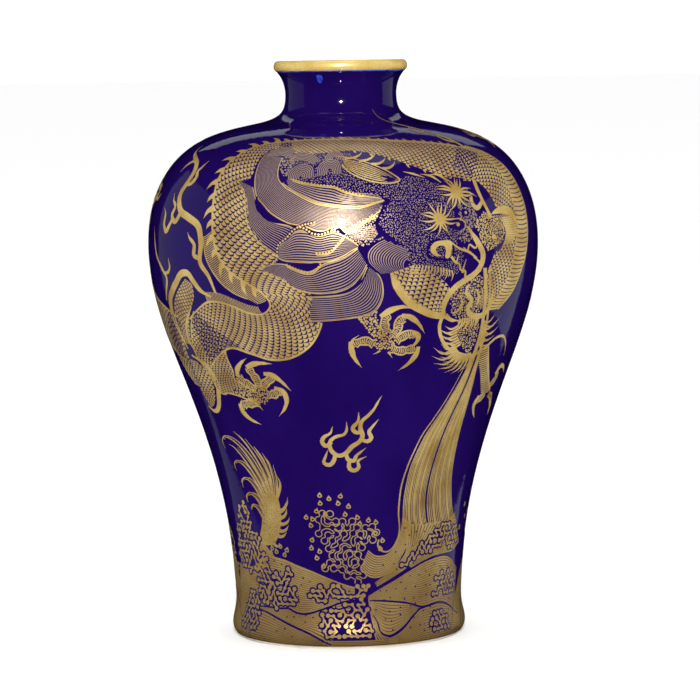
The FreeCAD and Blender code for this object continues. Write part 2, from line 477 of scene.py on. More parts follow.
def pattern(name, spots, faces):
    """A small flat mesh that a tree repeats."""
    shape = bpy.data.meshes.new(name)
    shape.from_pydata([(x, y, 0.0) for x, y in spots], [], faces)
    piece = bpy.data.objects.new(name, shape)
    bpy.context.scene.collection.objects.link(piece)
    patterns.append(piece)
    return piece


def keep_mesh(piece):
    """Takes the mesh out of a worked piece and drops the piece."""
    shape = piece.data
    bpy.data.objects.remove(piece)
    return shape


def tiled(first, second, tile, along, rows, stagger=0.0, sway=0.0, lift=FILM_LIFT):
    """Tiles between two lines of the chart, along the first and across to the second."""
    radius = float(across(np.mean([run for _, run in (*first, *second)]))) / DEG * MM
    lines = [curve_object("edge_line", chart(course(line, 1.0)) * (radius, 1, 1))
             for line in (first, second)]
    made = run_tree("tiled", TILED_TREE, {
        "First Line": lines[0], "Second Line": lines[1], "Tile": tile, "Along": along,
        "Across": rows, "Stagger": stagger, "Sway": sway, "Lift": lift * MM,
        "Radius": radius, "Meridian": meridian, "Finish": gold})
    for line in lines:
        bpy.data.objects.remove(line)
    return keep_mesh(made)


def drawn(drawing):
    """A drawing laid on the glaze."""
    return keep_mesh(run_tree("drawn", LAID_TREE, {"Meridian": meridian, "Finish": gold},
                              drawing.mesh("drawing")))


def chart_of(places):
    """The chart places (degrees, mm) of places on the vase."""
    angle = np.degrees(np.arctan2(places[:, 0], -places[:, 1]))
    run = np.interp(places[:, 2], meridian_points[:, 1], WALL_RUN) / MM
    return np.column_stack([angle, run])


def gilded(name, meshes, covers=(), finish=None):
    """Joins laid gilding, or cobalt, into one piece, less what lies under outlines over it."""
    spots, faces, count = [], [], 0
    for shape in meshes:
        places = np.zeros(len(shape.vertices) * 3)
        shape.vertices.foreach_get("co", places)
        places = places.reshape(-1, 3)
        corners = [tuple(face.vertices) for face in shape.polygons]
        if not corners:
            continue
        centres = np.array([places[list(face)].mean(axis=0) for face in corners])
        flat = chart_of(centres)
        hidden = np.zeros(len(corners), bool)
        for outline in covers:
            near = ((flat[:, 0] >= outline[:, 0].min()) & (flat[:, 0] <= outline[:, 0].max())
                    & (flat[:, 1] >= outline[:, 1].min()) & (flat[:, 1] <= outline[:, 1].max()))
            if near.any():
                hidden[near] |= inside(outline, flat[near])
        faces.extend(tuple(i + count for i in face)
                     for face, gone in zip(corners, hidden) if not gone)
        spots.append(places)
        count += len(places)
    spots = np.vstack(spots)
    used = np.unique(np.concatenate([np.array(face) for face in faces]))
    fresh = np.full(count, -1)
    fresh[used] = np.arange(len(used))
    shape = bpy.data.meshes.new(name)
    corners = []
    for face in faces:
        a, b, c = spots[face[0]], spots[face[1]], spots[face[2]]
        facing = np.dot(np.cross(b - a, c - a), (a[0], a[1], 0.0))
        moved = tuple(int(fresh[i]) for i in face)
        corners.append(moved if facing >= 0 else moved[::-1])
    shape.from_pydata(spots[used].tolist(), [], corners)
    shape.materials.append(finish or gold)
    shape.polygons.foreach_set("use_smooth", [True] * len(shape.polygons))
    shape.update()
    piece = bpy.data.objects.new(name, shape)
    bpy.context.scene.collection.objects.link(piece)
    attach(piece, "root")
    return piece


def scale_mark(down_the_line):
    """The crescent of cobalt under one scale, with its belly along the lines or across them."""
    spots = []
    for i in range(CRESCENT_STEPS + 1):
        t = math.sin(math.pi * (i / CRESCENT_STEPS - 0.5))
        bow = math.sqrt(max(0.0, 1 - t * t))
        spots += [(-0.22 + 0.72 * bow, 0.5 + 0.38 * t), (-0.18 + 1.2 * bow, 0.5 + 0.44 * t)]
    if not down_the_line:
        spots = [(y, x) for x, y in spots]
    return pattern("scale", spots, [(2 * i, 2 * i + 1, 2 * i + 3, 2 * i + 2)
                                    for i in range(CRESCENT_STEPS)])


def length_of(points):
    """The length in mm of a smooth line through chart points."""
    line = course(points, 2.0)
    steps = np.diff(line, axis=0) * np.column_stack(
        [across(line[1:, 1]), np.ones(len(line) - 1)])
    return float(np.linalg.norm(steps, axis=1).sum())


def width_between(first, second):
    """The mean distance in mm between two chart lines."""
    one, two = course(first, 4.0), course(second, 4.0)
    at = np.linspace(0, 1, 9)
    a = np.column_stack([np.interp(at, np.linspace(0, 1, len(one)), c) for c in one.T])
    b = np.column_stack([np.interp(at, np.linspace(0, 1, len(two)), c) for c in two.T])
    gap = (a - b) * np.column_stack([across((a + b)[:, 1] / 2), np.ones(9)])
    return float(np.linalg.norm(gap, axis=1).mean())


def scales(first, second, down_the_line, size=1.0):
    """A sheet of gold between two lines. The crescents of its scales are put by in crescents."""
    long = (length_of(first) + length_of(second)) / 2
    wide = width_between(first, second)
    if down_the_line:
        crescents.append(tiled(
            first, second, scale_down, max(2, round(long / SCALE_HIGH / size)),
            max(2, round(wide / SCALE_WIDE / size)), sway=0.5,
            lift=CRESCENT_LIFT))
    else:
        crescents.append(tiled(
            first, second, scale_across, max(2, round(long / SCALE_WIDE / size)),
            max(2, round(wide / SCALE_HIGH / size)), stagger=0.5,
            lift=CRESCENT_LIFT))
    return tiled(first, second, plain, max(2, round(long / SHEET_GRAIN)),
                 max(2, round(wide / SHEET_GRAIN)))


def scaled(name, covers=()):
    """The piece of cobalt that holds the crescents put by since the last one."""
    gilded(name, crescents, covers, cobalt)
    crescents.clear()


def ribs(first, second, pitch=3.0, fill=0.7):
    """Plates side by side between two lines, each set square to them."""
    key = ("rib", fill)
    if key not in cut_tiles:
        low, high = 0.5 - fill / 2, 0.5 + fill / 2
        cut_tiles[key] = pattern(
            "rib", [(x + 0.3 * math.sin(math.pi * y / 4), y / 4)
                    for y in range(5) for x in (low, high)],
            [(2 * i, 2 * i + 1, 2 * i + 3, 2 * i + 2) for i in range(4)])
    return tiled(first, second, cut_tiles[key], max(2, round(length_of(first) / pitch)), 1)


gold = gold_finish("fired gold", (0.60, 0.38, 0.085, 1), (0.96, 0.72, 0.27, 1))
LAID_TREE = laid_tree()
TILED_TREE = tiles_tree()
scale_down = scale_mark(True)
scale_across = scale_mark(False)
plain = pattern("plain", [(0, 0), (1, 0), (1, 1), (0, 1)], [(0, 1, 2, 3)])

ARCH_TOP = [(-24, 321), (-14, 323), (0, 323.5), (12, 322), (24, 319.5), (36, 316.5), (47, 312),
            (55, 305)]
ARCH_LOW = [(-24, 309), (-14, 308), (-4, 309), (4, 310.5), (12, 306.5), (20, 300), (28, 293),
            (36, 287), (43, 285)]
FLANK_OUT = [(47, 312), (55, 305), (59, 296), (61, 286), (61, 272), (60.5, 256), (58.5, 240),
             (56, 227), (52, 216), (47, 207)]
FLANK_IN = [(38, 296), (42, 290), (47, 283), (50, 274), (51, 264), (50.5, 254), (49, 244),
            (46, 232), (44.5, 222), (43, 211)]
BELLY_RIM = [(52, 312), (60, 305), (65.5, 296), (68, 286), (69, 272), (68.5, 256), (66.5, 240),
             (63, 227), (59.5, 217), (53, 207)]
LEFT_BACK = [(-20, 321), (-29, 319), (-36, 313), (-40.5, 302), (-42, 290), (-41.5, 278),
             (-40.5, 264), (-39.5, 252), (-37.5, 242), (-34, 234), (-29, 228), (-24, 222)]
LEFT_BELLY = [(-17, 309), (-20, 306), (-22, 300), (-23, 292), (-23, 282), (-22, 270),
              (-19, 258), (-15, 248), (-12, 240), (-10.5, 232), (-9, 226), (-8, 219)]
TURN_INNER = [(-24, 222), (-22, 217), (-22, 213), (-24.5, 209), (-29, 209.5), (-34, 213),
              (-39, 215.5), (-44, 215), (-49, 210), (-54, 204)]
TURN_OUTER = [(-8, 219), (-6.5, 209), (-7.5, 199), (-11, 189), (-17, 182), (-24, 180.5),
              (-31, 184), (-38, 187), (-44, 182), (-50, 174)]

body = [scales(ARCH_TOP, ARCH_LOW, False, 0.78), scales(FLANK_OUT, FLANK_IN, True, 0.9),
        scales(LEFT_BACK, LEFT_BELLY, True), scales(TURN_INNER, TURN_OUTER, False),
        ribs(BELLY_RIM, FLANK_OUT, 2.7, 0.76)]
edging = Drawing(OUTLINE_LIFT)
edging.stroke(ARCH_TOP[:-1], (1.6, 2.6, 2.2))
edging.stroke(BELLY_RIM, (1.2, 1.6, 1.0))
edging.stroke(FLANK_OUT, (0.7, 0.9, 0.7))
edging.stroke(LEFT_BACK, (1.1, 1.4, 1.1))
edging.stroke(TURN_OUTER, (1.0, 1.4, 1.0))
edging.stroke(TURN_INNER, (1.0, 1.3, 1.0))
body.append(drawn(edging))

MANE = course([(-26, 313), (-29.3, 303), (-29.6, 291), (-33.2, 287.5), (-30, 280), (-28.5, 270),
               (-27.2, 261), (-23.7, 251.5), (-20.4, 246), (-18.5, 243), (-20, 239.5), (-23, 235.5),
               (-17, 230), (-14, 225), (-9.5, 221), (-10, 210), (-9, 204), (0, 204.5), (8, 207.5),
               (11.5, 217), (11, 229), (15, 231), (19, 235), (21, 245), (21, 256), (15, 262),
               (16, 275), (14, 284), (9, 290), (0, 300), (-8, 307), (-17, 309)], 1.2, True)
HEAD = course([(13, 284), (20, 291), (27, 288.5), (33, 287), (38, 288), (42, 284), (43, 275),
               (45, 268), (52, 267.5), (58, 268), (61, 262), (60, 253), (56.6, 246.6), (51.5, 244),
               (47, 238), (44, 228), (38, 224), (31, 221), (27, 229), (19, 234), (18, 246),
               (12, 252), (9, 262), (12, 272)], 1.2, True)
gilded("dragon_body", body, [MANE, HEAD])
scaled("body_scale_edges", [MANE, HEAD])

# ---- Dragon's mane ---------------------------------------------------------------------------
# Locks of hair that stream back from the cheek over the body, each combed out in fine parallel
# hairs of thin gold and edged with a heavier line. Beads, stippling and touches of cobalt part
# one lock from the next.

STRAND_STEPS = 26


def strand_tile(fill, taper):
    """One hair: a band along the tile that narrows to its ends."""
    spots, faces = [], []
    for i in range(STRAND_STEPS + 1):
        u = i / STRAND_STEPS
        narrow = min(1.0, taper[0] + (1 - taper[0]) * u * 5, taper[1] + (1 - taper[1]) * (1 - u) * 3)
        spots += [(u, 0.5 - fill * narrow / 2), (u, 0.5 + fill * narrow / 2)]
    faces = [(2 * i, 2 * i + 2, 2 * i + 3, 2 * i + 1) for i in range(STRAND_STEPS)]
    return pattern("strand", spots, faces)


def strands(first, second, pitch=1.35, fill=0.56, taper=(0.5, 0.15), lift=FILM_LIFT):
    """Fine parallel hairs from the start of two lines to their ends."""
    key = ("strand", fill, taper)
    if key not in cut_tiles:
        cut_tiles[key] = strand_tile(fill, taper)
    count = max(2, round(width_between(first, second) / pitch))
    return tiled(first, second, cut_tiles[key], 1, count, lift=lift)


def stamps_tree():
    """A mark stamped at points, each in its own size, with its turn left to chance."""
    tree, inlet, outlet = start_tree("marks stamped at points", {
        "Stamp": "Object", "Spread": "Float", "Seed": "Int", "Meridian": "Object",
        "Finish": "Material"})
    kept = lay(tree, "GeometryNodeStoreNamedAttribute", {
        "Geometry": inlet.outputs["Geometry"], "Name": "seat",
        "Value": lay(tree, "GeometryNodeInputPosition").outputs[0]},
        data_type="FLOAT_VECTOR", domain="POINT")
    stamp = lay(tree, "GeometryNodeObjectInfo", {"Object": inlet.outputs["Stamp"]})
    size = lay(tree, "GeometryNodeInputNamedAttribute", {"Name": "size"}, data_type="FLOAT")
    loose = lay(tree, "FunctionNodeRandomValue", {"Seed": inlet.outputs["Seed"]}, data_type="FLOAT")
    sway = sums(tree, "MULTIPLY", sums(tree, "SUBTRACT", loose.outputs[1], 0.5),
                inlet.outputs["Spread"])
    marked = lay(tree, "GeometryNodeInstanceOnPoints", {
        "Points": kept.outputs["Geometry"], "Instance": stamp.outputs["Geometry"],
        "Rotation": lay(tree, "ShaderNodeCombineXYZ", {"Z": sway}).outputs[0],
        "Scale": size.outputs[0]})
    real = lay(tree, "GeometryNodeRealizeInstances", {"Geometry": marked.outputs["Instances"]})
    home = lay(tree, "GeometryNodeInputNamedAttribute", {"Name": "seat"}, data_type="FLOAT_VECTOR")
    centre = lay(tree, "ShaderNodeSeparateXYZ", {0: home.outputs[0]})
    line = lay(tree, "GeometryNodeObjectInfo", {"Object": inlet.outputs["Meridian"]})
    ring = lay(tree, "GeometryNodeSampleCurve", {
        "Curves": line.outputs["Geometry"], "Length": centre.outputs["Y"]}, mode="LENGTH")
    radius = lay(tree, "ShaderNodeSeparateXYZ", {0: ring.outputs["Position"]}).outputs["X"]
    spot = lay(tree, "ShaderNodeSeparateXYZ", {0: lay(tree, "GeometryNodeInputPosition").outputs[0]})
    round_by = sums(tree, "DIVIDE", sums(tree, "SUBTRACT", spot.outputs["X"], centre.outputs["X"]),
                    radius)
    flat = lay(tree, "ShaderNodeCombineXYZ", {
        "X": sums(tree, "ADD", centre.outputs["X"], round_by), "Y": spot.outputs["Y"],
        "Z": spot.outputs["Z"]})
    laid = lay(tree, "GeometryNodeSetPosition", {
        "Geometry": real.outputs["Geometry"],
        "Position": onto_glaze(tree, flat.outputs[0], inlet.outputs["Meridian"])})
    finish_tree(tree, outlet, laid.outputs["Geometry"], inlet.outputs["Finish"])
    return tree


def stamped(stamp, spots, sizes, spread=0.0, seed=1, lift=FILM_LIFT):
    """A mark stamped at chart places, with its size in mm and the spread of its turn."""
    points = bpy.data.meshes.new("stamp_points")
    points.from_pydata(chart(spots, lift).tolist(), [], [])
    size_row = points.attributes.new("size", "FLOAT", "POINT")
    size_row.data.foreach_set("value", (np.asarray(sizes) * MM).astype(np.float32))
    return keep_mesh(run_tree("stamped", STAMPED_TREE, {
        "Stamp": stamp, "Spread": spread, "Seed": seed, "Meridian": meridian, "Finish": gold},
        points))


def touched(name, meshes):
    """Lines of cobalt painted back over the gilding, to part one shape from the next."""
    return gilded(name, meshes, finish=cobalt)


def peppered(outline, pitch, sizes, seed, drift=0.35):
    """Chart places and sizes of dots that fill an outline closely."""
    chance = np.random.default_rng(seed)
    ring = course(outline, 1.5, True)
    low, high = ring.min(0), ring.max(0)
    spots = []
    for k, run in enumerate(np.arange(low[1], high[1], pitch * 0.87)):
        gap = pitch / float(across(run))
        row = np.arange(low[0], high[0], gap) + (k % 2) * gap / 2
        spots.append(np.column_stack([row, np.full(len(row), run)]))
    spots = np.vstack(spots)
    shake = (chance.random(spots.shape) - 0.5) * pitch * drift * 2
    spots = spots + shake / np.column_stack([across(spots[:, 1]), np.ones(len(spots))])
    spots = spots[inside(ring, spots)]
    return spots, chance.uniform(*sizes, len(spots))


def hexagon(bulge=1.0):
    """A six-sided dot one unit across."""
    ring = [(0.5 * math.cos(a), 0.5 * bulge * math.sin(a))
            for a in np.arange(6) * math.pi / 3]
    return pattern("dot", [*ring], [(0, 1, 2, 3), (0, 3, 4, 5)])


def pebbled(outline, pitch, sizes, seed, stamp=None, lift=FILM_LIFT):
    """Dots that fill an outline."""
    spots, big = peppered(outline, pitch, sizes, seed)
    return stamped(stamp or dot, spots, big, spread=math.pi * 2, seed=seed, lift=lift)


pale_gold = gold_finish("thin fired gold", (0.40, 0.29, 0.21, 1), (0.52, 0.39, 0.29, 1))
STAMPED_TREE = stamps_tree()
dot = hexagon()
long_dot = hexagon(0.62)

LOCKS = [
    # the long sweep over the shoulder, in three lays one above the other
    ([(-27.4, 309), (-28.4, 301), (-28.0, 290), (-26.4, 279.5), (-23.4, 273), (-20.6, 267.8),
      (-16, 262.8), (-12.4, 261.2), (-10, 260), (-7.6, 258), (-5, 258), (-2.6, 260.2),
      (0, 259.6), (2.6, 258.6), (5.4, 262.2), (8.2, 265.4), (10.8, 269)],
     [(-20.6, 305), (-20.8, 297), (-20.0, 289.6), (-17.4, 284), (-14.4, 280.5), (-11.2, 277),
      (-6.8, 273.2), (0, 271.2), (5, 270.8), (9.7, 273.4), (12.4, 275)], 0.95),
    ([(-18.6, 286.6), (-14.4, 281.2), (-11.0, 277.8), (-6.8, 274), (0, 272), (5.5, 271.8),
      (9.4, 273.9), (12.4, 275.4)],
     [(-16.4, 289.4), (-14.7, 288.6), (-10.8, 286.4), (-7.3, 285), (-2.5, 284), (0, 281.4),
      (4.4, 278.6), (12.4, 276)], 1.15),
    # the outermost lay, down beside the scales
    ([(-34.5, 289), (-30.6, 281), (-29.1, 270), (-27.8, 261), (-24.2, 251.5), (-20.8, 246.4),
      (-19.3, 244.2)],
     [(-28, 284), (-26.5, 277.6), (-24.6, 269.5), (-21.5, 264.4), (-18.5, 262.2), (-15.7, 261),
      (-14, 259.4)], 1.15),
    # the middle lay and the great curl below it
    ([(-19.3, 243.5), (-16.8, 240.8), (-12, 239.8), (-7, 239.7), (-3, 240.8), (0, 243.3),
      (2.2, 246.2), (4, 248)],
     [(-18.3, 249.8), (-15.9, 253.3), (-13.4, 257.6), (-10, 257.6), (-6.8, 255.4), (-3, 257),
      (0, 255), (4.2, 249.2)], 1.2),
    ([(-23.5, 236.6), (-20, 238.8), (-16.6, 238.6), (-12.4, 235.2), (-9.6, 234.4), (-7.4, 236.4),
      (-5.2, 239), (-0.3, 242), (4, 247.4)],
     [(-23.6, 234.6), (-18, 230.6), (-14.4, 225), (-9, 221.8), (-3, 221.9), (1.6, 225),
      (4.6, 231), (6.5, 238)], 1.25),
    ([(-11, 219.6), (-4, 220), (0.6, 221.6), (4.2, 226.2), (5.6, 232), (6.6, 236.6)],
     [(-10, 204.5), (0, 206), (8, 209.3), (11, 218), (10.5, 229.5), (7.2, 237.4)], 1.35),
    # the fan behind the cheek, and its two rounded ends
    ([(21.5, 253), (16, 254), (10.4, 251.4), (7, 246), (7, 239.4), (10.5, 232.4)],
     [(21.4, 243), (19.2, 241.6), (17.6, 239.6), (17.2, 237.6), (17.3, 235.6), (17.6, 234)], 1.3),
    ([(1.4, 257), (4, 259.4), (8, 260.4), (10.6, 258.6)],
     [(2.2, 253.4), (4.6, 252.4), (8, 252.6), (10, 254.6)], 1.0),
    ([(-2, 278.8), (4, 280.4), (9, 279), (12.6, 276)],
     [(0, 274), (5, 273.4), (9, 273.6), (12, 274.6)], 1.0),
]
CURLS = [
    ([(-17, 289), (-16.8, 295), (-13.6, 299.8), (-9.6, 298), (-8.6, 290.6)],
     [(-13.3, 289), (-13.2, 291), (-12.8, 291.8), (-12.4, 291), (-12.3, 289)], 1.25),
    ([(-8, 291), (-7.6, 299), (-4, 303.5), (-0.8, 301), (0, 292.4)],
     [(-4.6, 292), (-4.4, 295.4), (-3.8, 296.4), (-3.2, 295.4), (-3.1, 292)], 1.25),
    ([(-6, 302.4), (-5, 308), (-2.4, 310), (0.4, 308), (1, 302.4)],
     [(-3, 303), (-2.8, 304.6), (-2.4, 305), (-2, 304.6), (-1.8, 303)], 1.2),
    ([(-26.6, 311.5), (-23, 314.6), (-19, 314.4), (-16.4, 311)],
     [(-26.4, 304), (-24, 306), (-21, 306.4), (-18.6, 304.6)], 1.3),
    ([(-17.6, 307.6), (-14, 309.6), (-10, 308), (-7.6, 303.6)],
     [(-17.4, 300), (-14.6, 302.4), (-11.4, 301.6), (-9.4, 299)], 1.3),
]
BEADED = [
    [(-18.8, 244), (-18.3, 250), (-16, 253.8), (-14.4, 257.6), (-12.4, 260.2), (-10.2, 258.6),
     (-8.6, 256.4), (-6, 255.8), (-3.6, 257.6), (-1.4, 257.2)],
    [(-12.2, 260.6), (-10.4, 261.8), (-8, 262.6)],
    [(-3, 258.6), (-1, 261), (0.6, 258), (2.4, 257.4), (5, 261.4), (8, 265), (10.6, 266)],
    [(-7.4, 245), (-4, 245.6), (-1.4, 250.4), (0.4, 254.6)],
    [(-16, 238.4), (-12.6, 235.4), (-9.8, 234), (-7.6, 235.8), (-6.4, 238.6)],
    [(-15.2, 288.8), (-10.8, 286.6), (-6, 285), (-2.4, 284.2), (1, 281), (6, 278.4)],
]
gilded("mane_hairs", [strands(outer, inner, pitch * 0.86, 0.42, (0.95, 0.6))
                      for outer, inner, pitch in LOCKS], [HEAD], pale_gold)
mane = []
outlines = Drawing(OUTLINE_LIFT)
for outer, inner, _ in LOCKS[:6]:
    outlines.stroke(outer, (0.35, 0.55, 0.45))
    outlines.stroke(inner, (0.35, 0.55, 0.45))
for edge in BEADED:
    outlines.stroke([(x, y - 1.0) for x, y in edge], (0.6, 0.6))
mane.append(drawn(outlines))
for k, edge in enumerate(BEADED):
    beads = course(edge, 1.9)
    mane.append(stamped(dot, beads, np.full(len(beads), 1.35), seed=70 + k,
                        lift=FILM_LIFT + 0.12))
gilded("dragon_mane", mane, [HEAD])
stipple = [
    pebbled([(-20.4, 309), (-17, 309), (-15.8, 301), (-16.2, 293), (-18.8, 291.4),
             (-20.2, 296)], 1.7, (1.0, 1.45), 75),
    pebbled([(-16, 309), (-8, 308), (2, 308), (6, 303), (10, 294), (15, 287), (15.4, 280),
             (12.6, 277.4), (8, 277.8), (3.5, 279.8), (0, 282.4), (-2.5, 285.2), (-7.3, 286.2),
             (-10.8, 287.6), (-14.7, 289.8), (-16.4, 291), (-17, 300)],
            1.45, (0.75, 1.15), 76, long_dot),
    pebbled([(3.4, 262), (8, 266.4), (12, 272), (16, 274), (19, 268), (19, 258), (22, 254),
             (20, 250), (14, 254.5), (9, 251.4), (6, 248.6), (3, 250.5), (1.2, 254), (0.8, 258)],
            1.4, (0.75, 1.15), 77)]
gilded("mane_stipple", stipple, [HEAD], pale_gold)
gaps = Drawing(PARTING_LIFT)
for bare in (
        [(-25.8, 278.6), (-24.8, 273), (-21.5, 266.5), (-16, 262.6), (-20.4, 262.9),
         (-24.3, 267.8), (-26.3, 274)],
        [(-19.4, 291.4), (-18.2, 291), (-16.4, 284.8), (-17.6, 286.4)],
        [(-12.4, 239.4), (-9.6, 239.3), (-6.9, 239.5), (-8.4, 236.4), (-10.2, 235.2),
         (-11.6, 237)],
        [(9.2, 258.6), (10.8, 258.2), (11.6, 255.8), (10.4, 253.2), (8.4, 252.6), (9.8, 255.6)],
        [(11.2, 276.6), (13, 276.6), (14.2, 274.4), (12.8, 272.4), (10.6, 272.6),
         (12.4, 274.4)]):
    gaps.fill(bare)
for edge in BEADED[:2]:
    gaps.stroke(edge, (1.6, 2.4, 1.6))
gaps.stroke([(4.4, 248), (6.6, 242), (7.2, 237.4), (10.4, 231.6)], (0.6, 1.1, 0.6))
gaps.stroke([(-11, 220.6), (-4, 220.9), (1, 222.6), (4.4, 227), (6.2, 232.6), (7, 237)],
            (0.8, 1.3, 0.8))
touched("mane_partings", [drawn(gaps)])
beds = Drawing(FILM_LIFT + 0.04)
for outer, inner, _ in CURLS:
    beds.fill(course(outer, 1.0).tolist() + course(inner, 1.0)[::-1].tolist(), smooth=False)
touched("curl_beds", [drawn(beds)])
gilded("mane_curls", [strands(outer, inner, pitch * 0.9, 0.5, (0.95, 0.95), PARTING_LIFT)
                      for outer, inner, pitch in CURLS], (), pale_gold)

# ---- Dragon's head ---------------------------------------------------------------------------
# Starburst brows, a stippled cheek and muzzle and an open jaw. The solid parts are laid on thick
# with a full brush, the cheek is a thin wash, and the sockets and shadows are cobalt again.


def burst(drawing, centre, reach, rays, seed, width=1.3, core=0.24):
    """A brow of pointed tufts round a solid middle."""
    chance = np.random.default_rng(seed)
    wide = float(across(centre[1]))
    for k in range(rays):
        angle = 2 * math.pi * (k + chance.uniform(-0.2, 0.2)) / rays
        far = reach * chance.uniform(0.75, 1.15) * (1 + 0.22 * abs(math.cos(angle)))
        bend = angle + chance.uniform(-0.3, 0.3)
        tip = (centre[0] + far * math.cos(bend) / wide, centre[1] + far * math.sin(bend))
        middle = (centre[0] + 0.55 * far * math.cos(angle) / wide,
                  centre[1] + 0.55 * far * math.sin(angle))
        drawing.stroke([centre, middle, tip], (width * 1.3, width, 0.15))
    ring = [(centre[0] + reach * core * math.cos(a) / wide,
             centre[1] + reach * core * math.sin(a)) for a in np.arange(8) * math.pi / 4]
    drawing.fill(ring)


CHEEK = [(13, 283), (20, 290), (27, 287), (32, 282), (35, 275), (33.5, 268), (35, 255),
         (34, 249), (36, 240), (34, 231), (27, 229), (19, 236), (18, 246), (14, 253), (10, 262),
         (12, 270)]
MUZZLE = [(42, 262), (44.5, 265.5), (48, 265), (51.5, 262), (53.5, 257), (53, 250), (50, 246),
          (46, 243), (43.5, 247), (42, 253), (40.8, 258)]
gilded("dragon_cheek", [
    pebbled(CHEEK, 1.3, (0.5, 0.9), 5),
    pebbled([(35, 275), (38, 277), (41, 270), (42, 263), (40, 256), (38.5, 249), (35, 250),
             (35, 258), (35.5, 268)], 1.4, (0.9, 1.35), 7)], (), pale_gold)
head = [pebbled(MUZZLE, 1.35, (0.95, 1.35), 6),
        strands([(51, 263), (53.5, 257), (53.5, 250), (51, 243)],
                [(57.5, 265), (60, 257), (59, 249), (56, 243)], 1.6, 0.7),
        ribs([(60, 264), (61.5, 256), (60.5, 249), (57, 243)],
             [(52.5, 262), (54, 256), (53.8, 250), (51.5, 244)], 1.7, 0.55)]
hollow = Drawing(FILM_LIFT + 0.04)
burst(hollow, (28.6, 263), 11.4, 15, 11, 2.5, 0.38)
burst(hollow, (36, 278.6), 11.4, 17, 12, 2.6, 0.42)
hollow.stroke([(31.8, 251), (32.6, 245), (32, 239.6), (29.6, 239.4), (24.6, 241.6), (24.2, 245.4),
               (25, 249.4), (28, 251.4)], (1.4, 1.4))
touched("brow_shadows", [drawn(hollow)])
face = Drawing(FILM_LIFT + 0.08)
burst(face, (28.6, 263), 11.0, 15, 11, 1.15, 0.30)
burst(face, (36, 278.6), 11.0, 17, 12, 1.3, 0.36)
face.fill([(48.5, 264.5), (51, 267.5), (55, 268.5), (58.5, 267), (60.5, 262), (61, 256),
           (59.8, 258), (57, 262.5), (53, 264)])
face.fill([(31.8, 250), (31.9, 245), (31.2, 240.5), (29.8, 240.5), (30, 244.5), (29.5, 247.3),
           (27.8, 247.5), (26.8, 245.5), (27.4, 243), (28.5, 241.6), (26.3, 242), (25.1, 245),
           (25.6, 248.3), (27.5, 250.3)])
face.stroke([(38, 258), (39.2, 254), (41.5, 248), (43.3, 242), (43, 236), (40.8, 230.5),
             (37.2, 226.8), (33.5, 222.5), (31.2, 217), (30.3, 211), (30.4, 205)],
            (1.2, 3.8, 4.0, 3.6, 3.8, 3.6, 2.2))
face.stroke([(32, 249), (34.5, 245.5), (38, 243), (41, 239)], (0.8, 1.6, 1.2))
face.stroke([(36, 246), (37.5, 244), (38.2, 247.4), (40.5, 245), (41.3, 250)], (0.5, 1.3, 0.9))
face.stroke([(31.8, 241), (33.2, 237.5), (34.7, 236.3), (35, 233), (36.8, 232), (37, 228.4),
             (39.5, 226.6)], (1.5, 1.1, 1.4, 1.6))
face.stroke([(34.2, 242), (33.8, 238.5), (33.3, 236.5)], (0.5, 1.5))
face.stroke([(37, 239), (36.2, 234.5), (35.8, 231)], (0.4, 1.6))
face.stroke([(39.6, 240), (42.4, 236), (42.6, 231)], (0.6, 1.4, 1.0))
face.fill([(47.6, 252.4), (48.8, 251.6), (49.6, 249.7), (48.4, 249.4), (47.4, 250.6)])
head.append(drawn(face))
gilded("dragon_head", head)
sockets = Drawing(OUTLINE_LIFT)
sockets.fill([(32, 261.4), (34.4, 262.2), (36.4, 260.4), (36.8, 257.8), (35, 256), (32.8, 256.6),
              (31.4, 258.8)])
sockets.fill([(36.6, 268.2), (38.4, 267.8), (39.2, 265.6), (38, 263.8), (36.4, 264.8)])
for start in ((24, 275.5), (21, 267.5), (23.5, 256.5)):
    sockets.stroke([start, (start[0] + 3, start[1] - 1), (start[0] + 6, start[1] + 0.4)],
                   (0.2, 0.9, 0.2))
touched("eye_sockets", [drawn(sockets)])
eyes = [stamped(dot, [(34.6, 259.4), (37.9, 266)], [2.7, 2.0], seed=14, lift=PARTING_LIFT)]
rims = Drawing(FILM_LIFT + 0.1)
rims.stroke([(32.4, 262.2), (34.8, 262.8), (36.8, 261), (37.3, 258), (35.8, 255.6)],
            (0.4, 0.8, 0.4), 0.8)
eyes.append(drawn(rims))
gilded("dragon_eyes", eyes)

# ---- Flame scrolls ---------------------------------------------------------------------------
# Forked tongues of fire that curl off the dragon's limbs across the bare glaze, each one swelling
# stroke of a full brush that thins out to a point.

flames = Drawing()
flames.stroke([(-40, 221), (-42, 231), (-45, 239), (-44.5, 250), (-46, 260), (-51, 265),
               (-55, 268), (-57.5, 274), (-58, 280), (-56.5, 287), (-56, 294), (-58, 300),
               (-62, 304), (-67, 309), (-69, 316)], (1.6, 3.4, 4.4, 4.4, 4.0, 3.2, 0.3))
flames.stroke([(-57, 285), (-54.5, 285.5), (-53, 290), (-54, 294), (-53, 297), (-51.5, 302)],
              (2.0, 3.0, 2.2, 0.3))
flames.stroke([(-55, 268), (-57.5, 262), (-60, 265.5), (-59, 271), (-61, 274.5), (-62, 279)],
              (3.0, 3.2, 2.4, 0.3))
flames.stroke([(-59.5, 263), (-62.5, 256), (-64.5, 260), (-64.5, 266), (-66.5, 270)],
              (2.4, 3.2, 2.4, 0.3))
flames.stroke([(-45, 241), (-47.5, 243), (-47.3, 249), (-49.5, 253), (-50.5, 256)],
              (2.6, 3.0, 2.4, 0.3))
flames.stroke([(-58, 300), (-61, 301.5), (-64, 298), (-65.5, 293)], (2.0, 2.6, 0.3))
flames.stroke([(-73, 258), (-71.5, 249), (-70, 241), (-66.5, 234), (-63.5, 228), (-65, 221),
               (-67, 214)], (0.3, 1.8, 2.4, 2.4, 1.0))
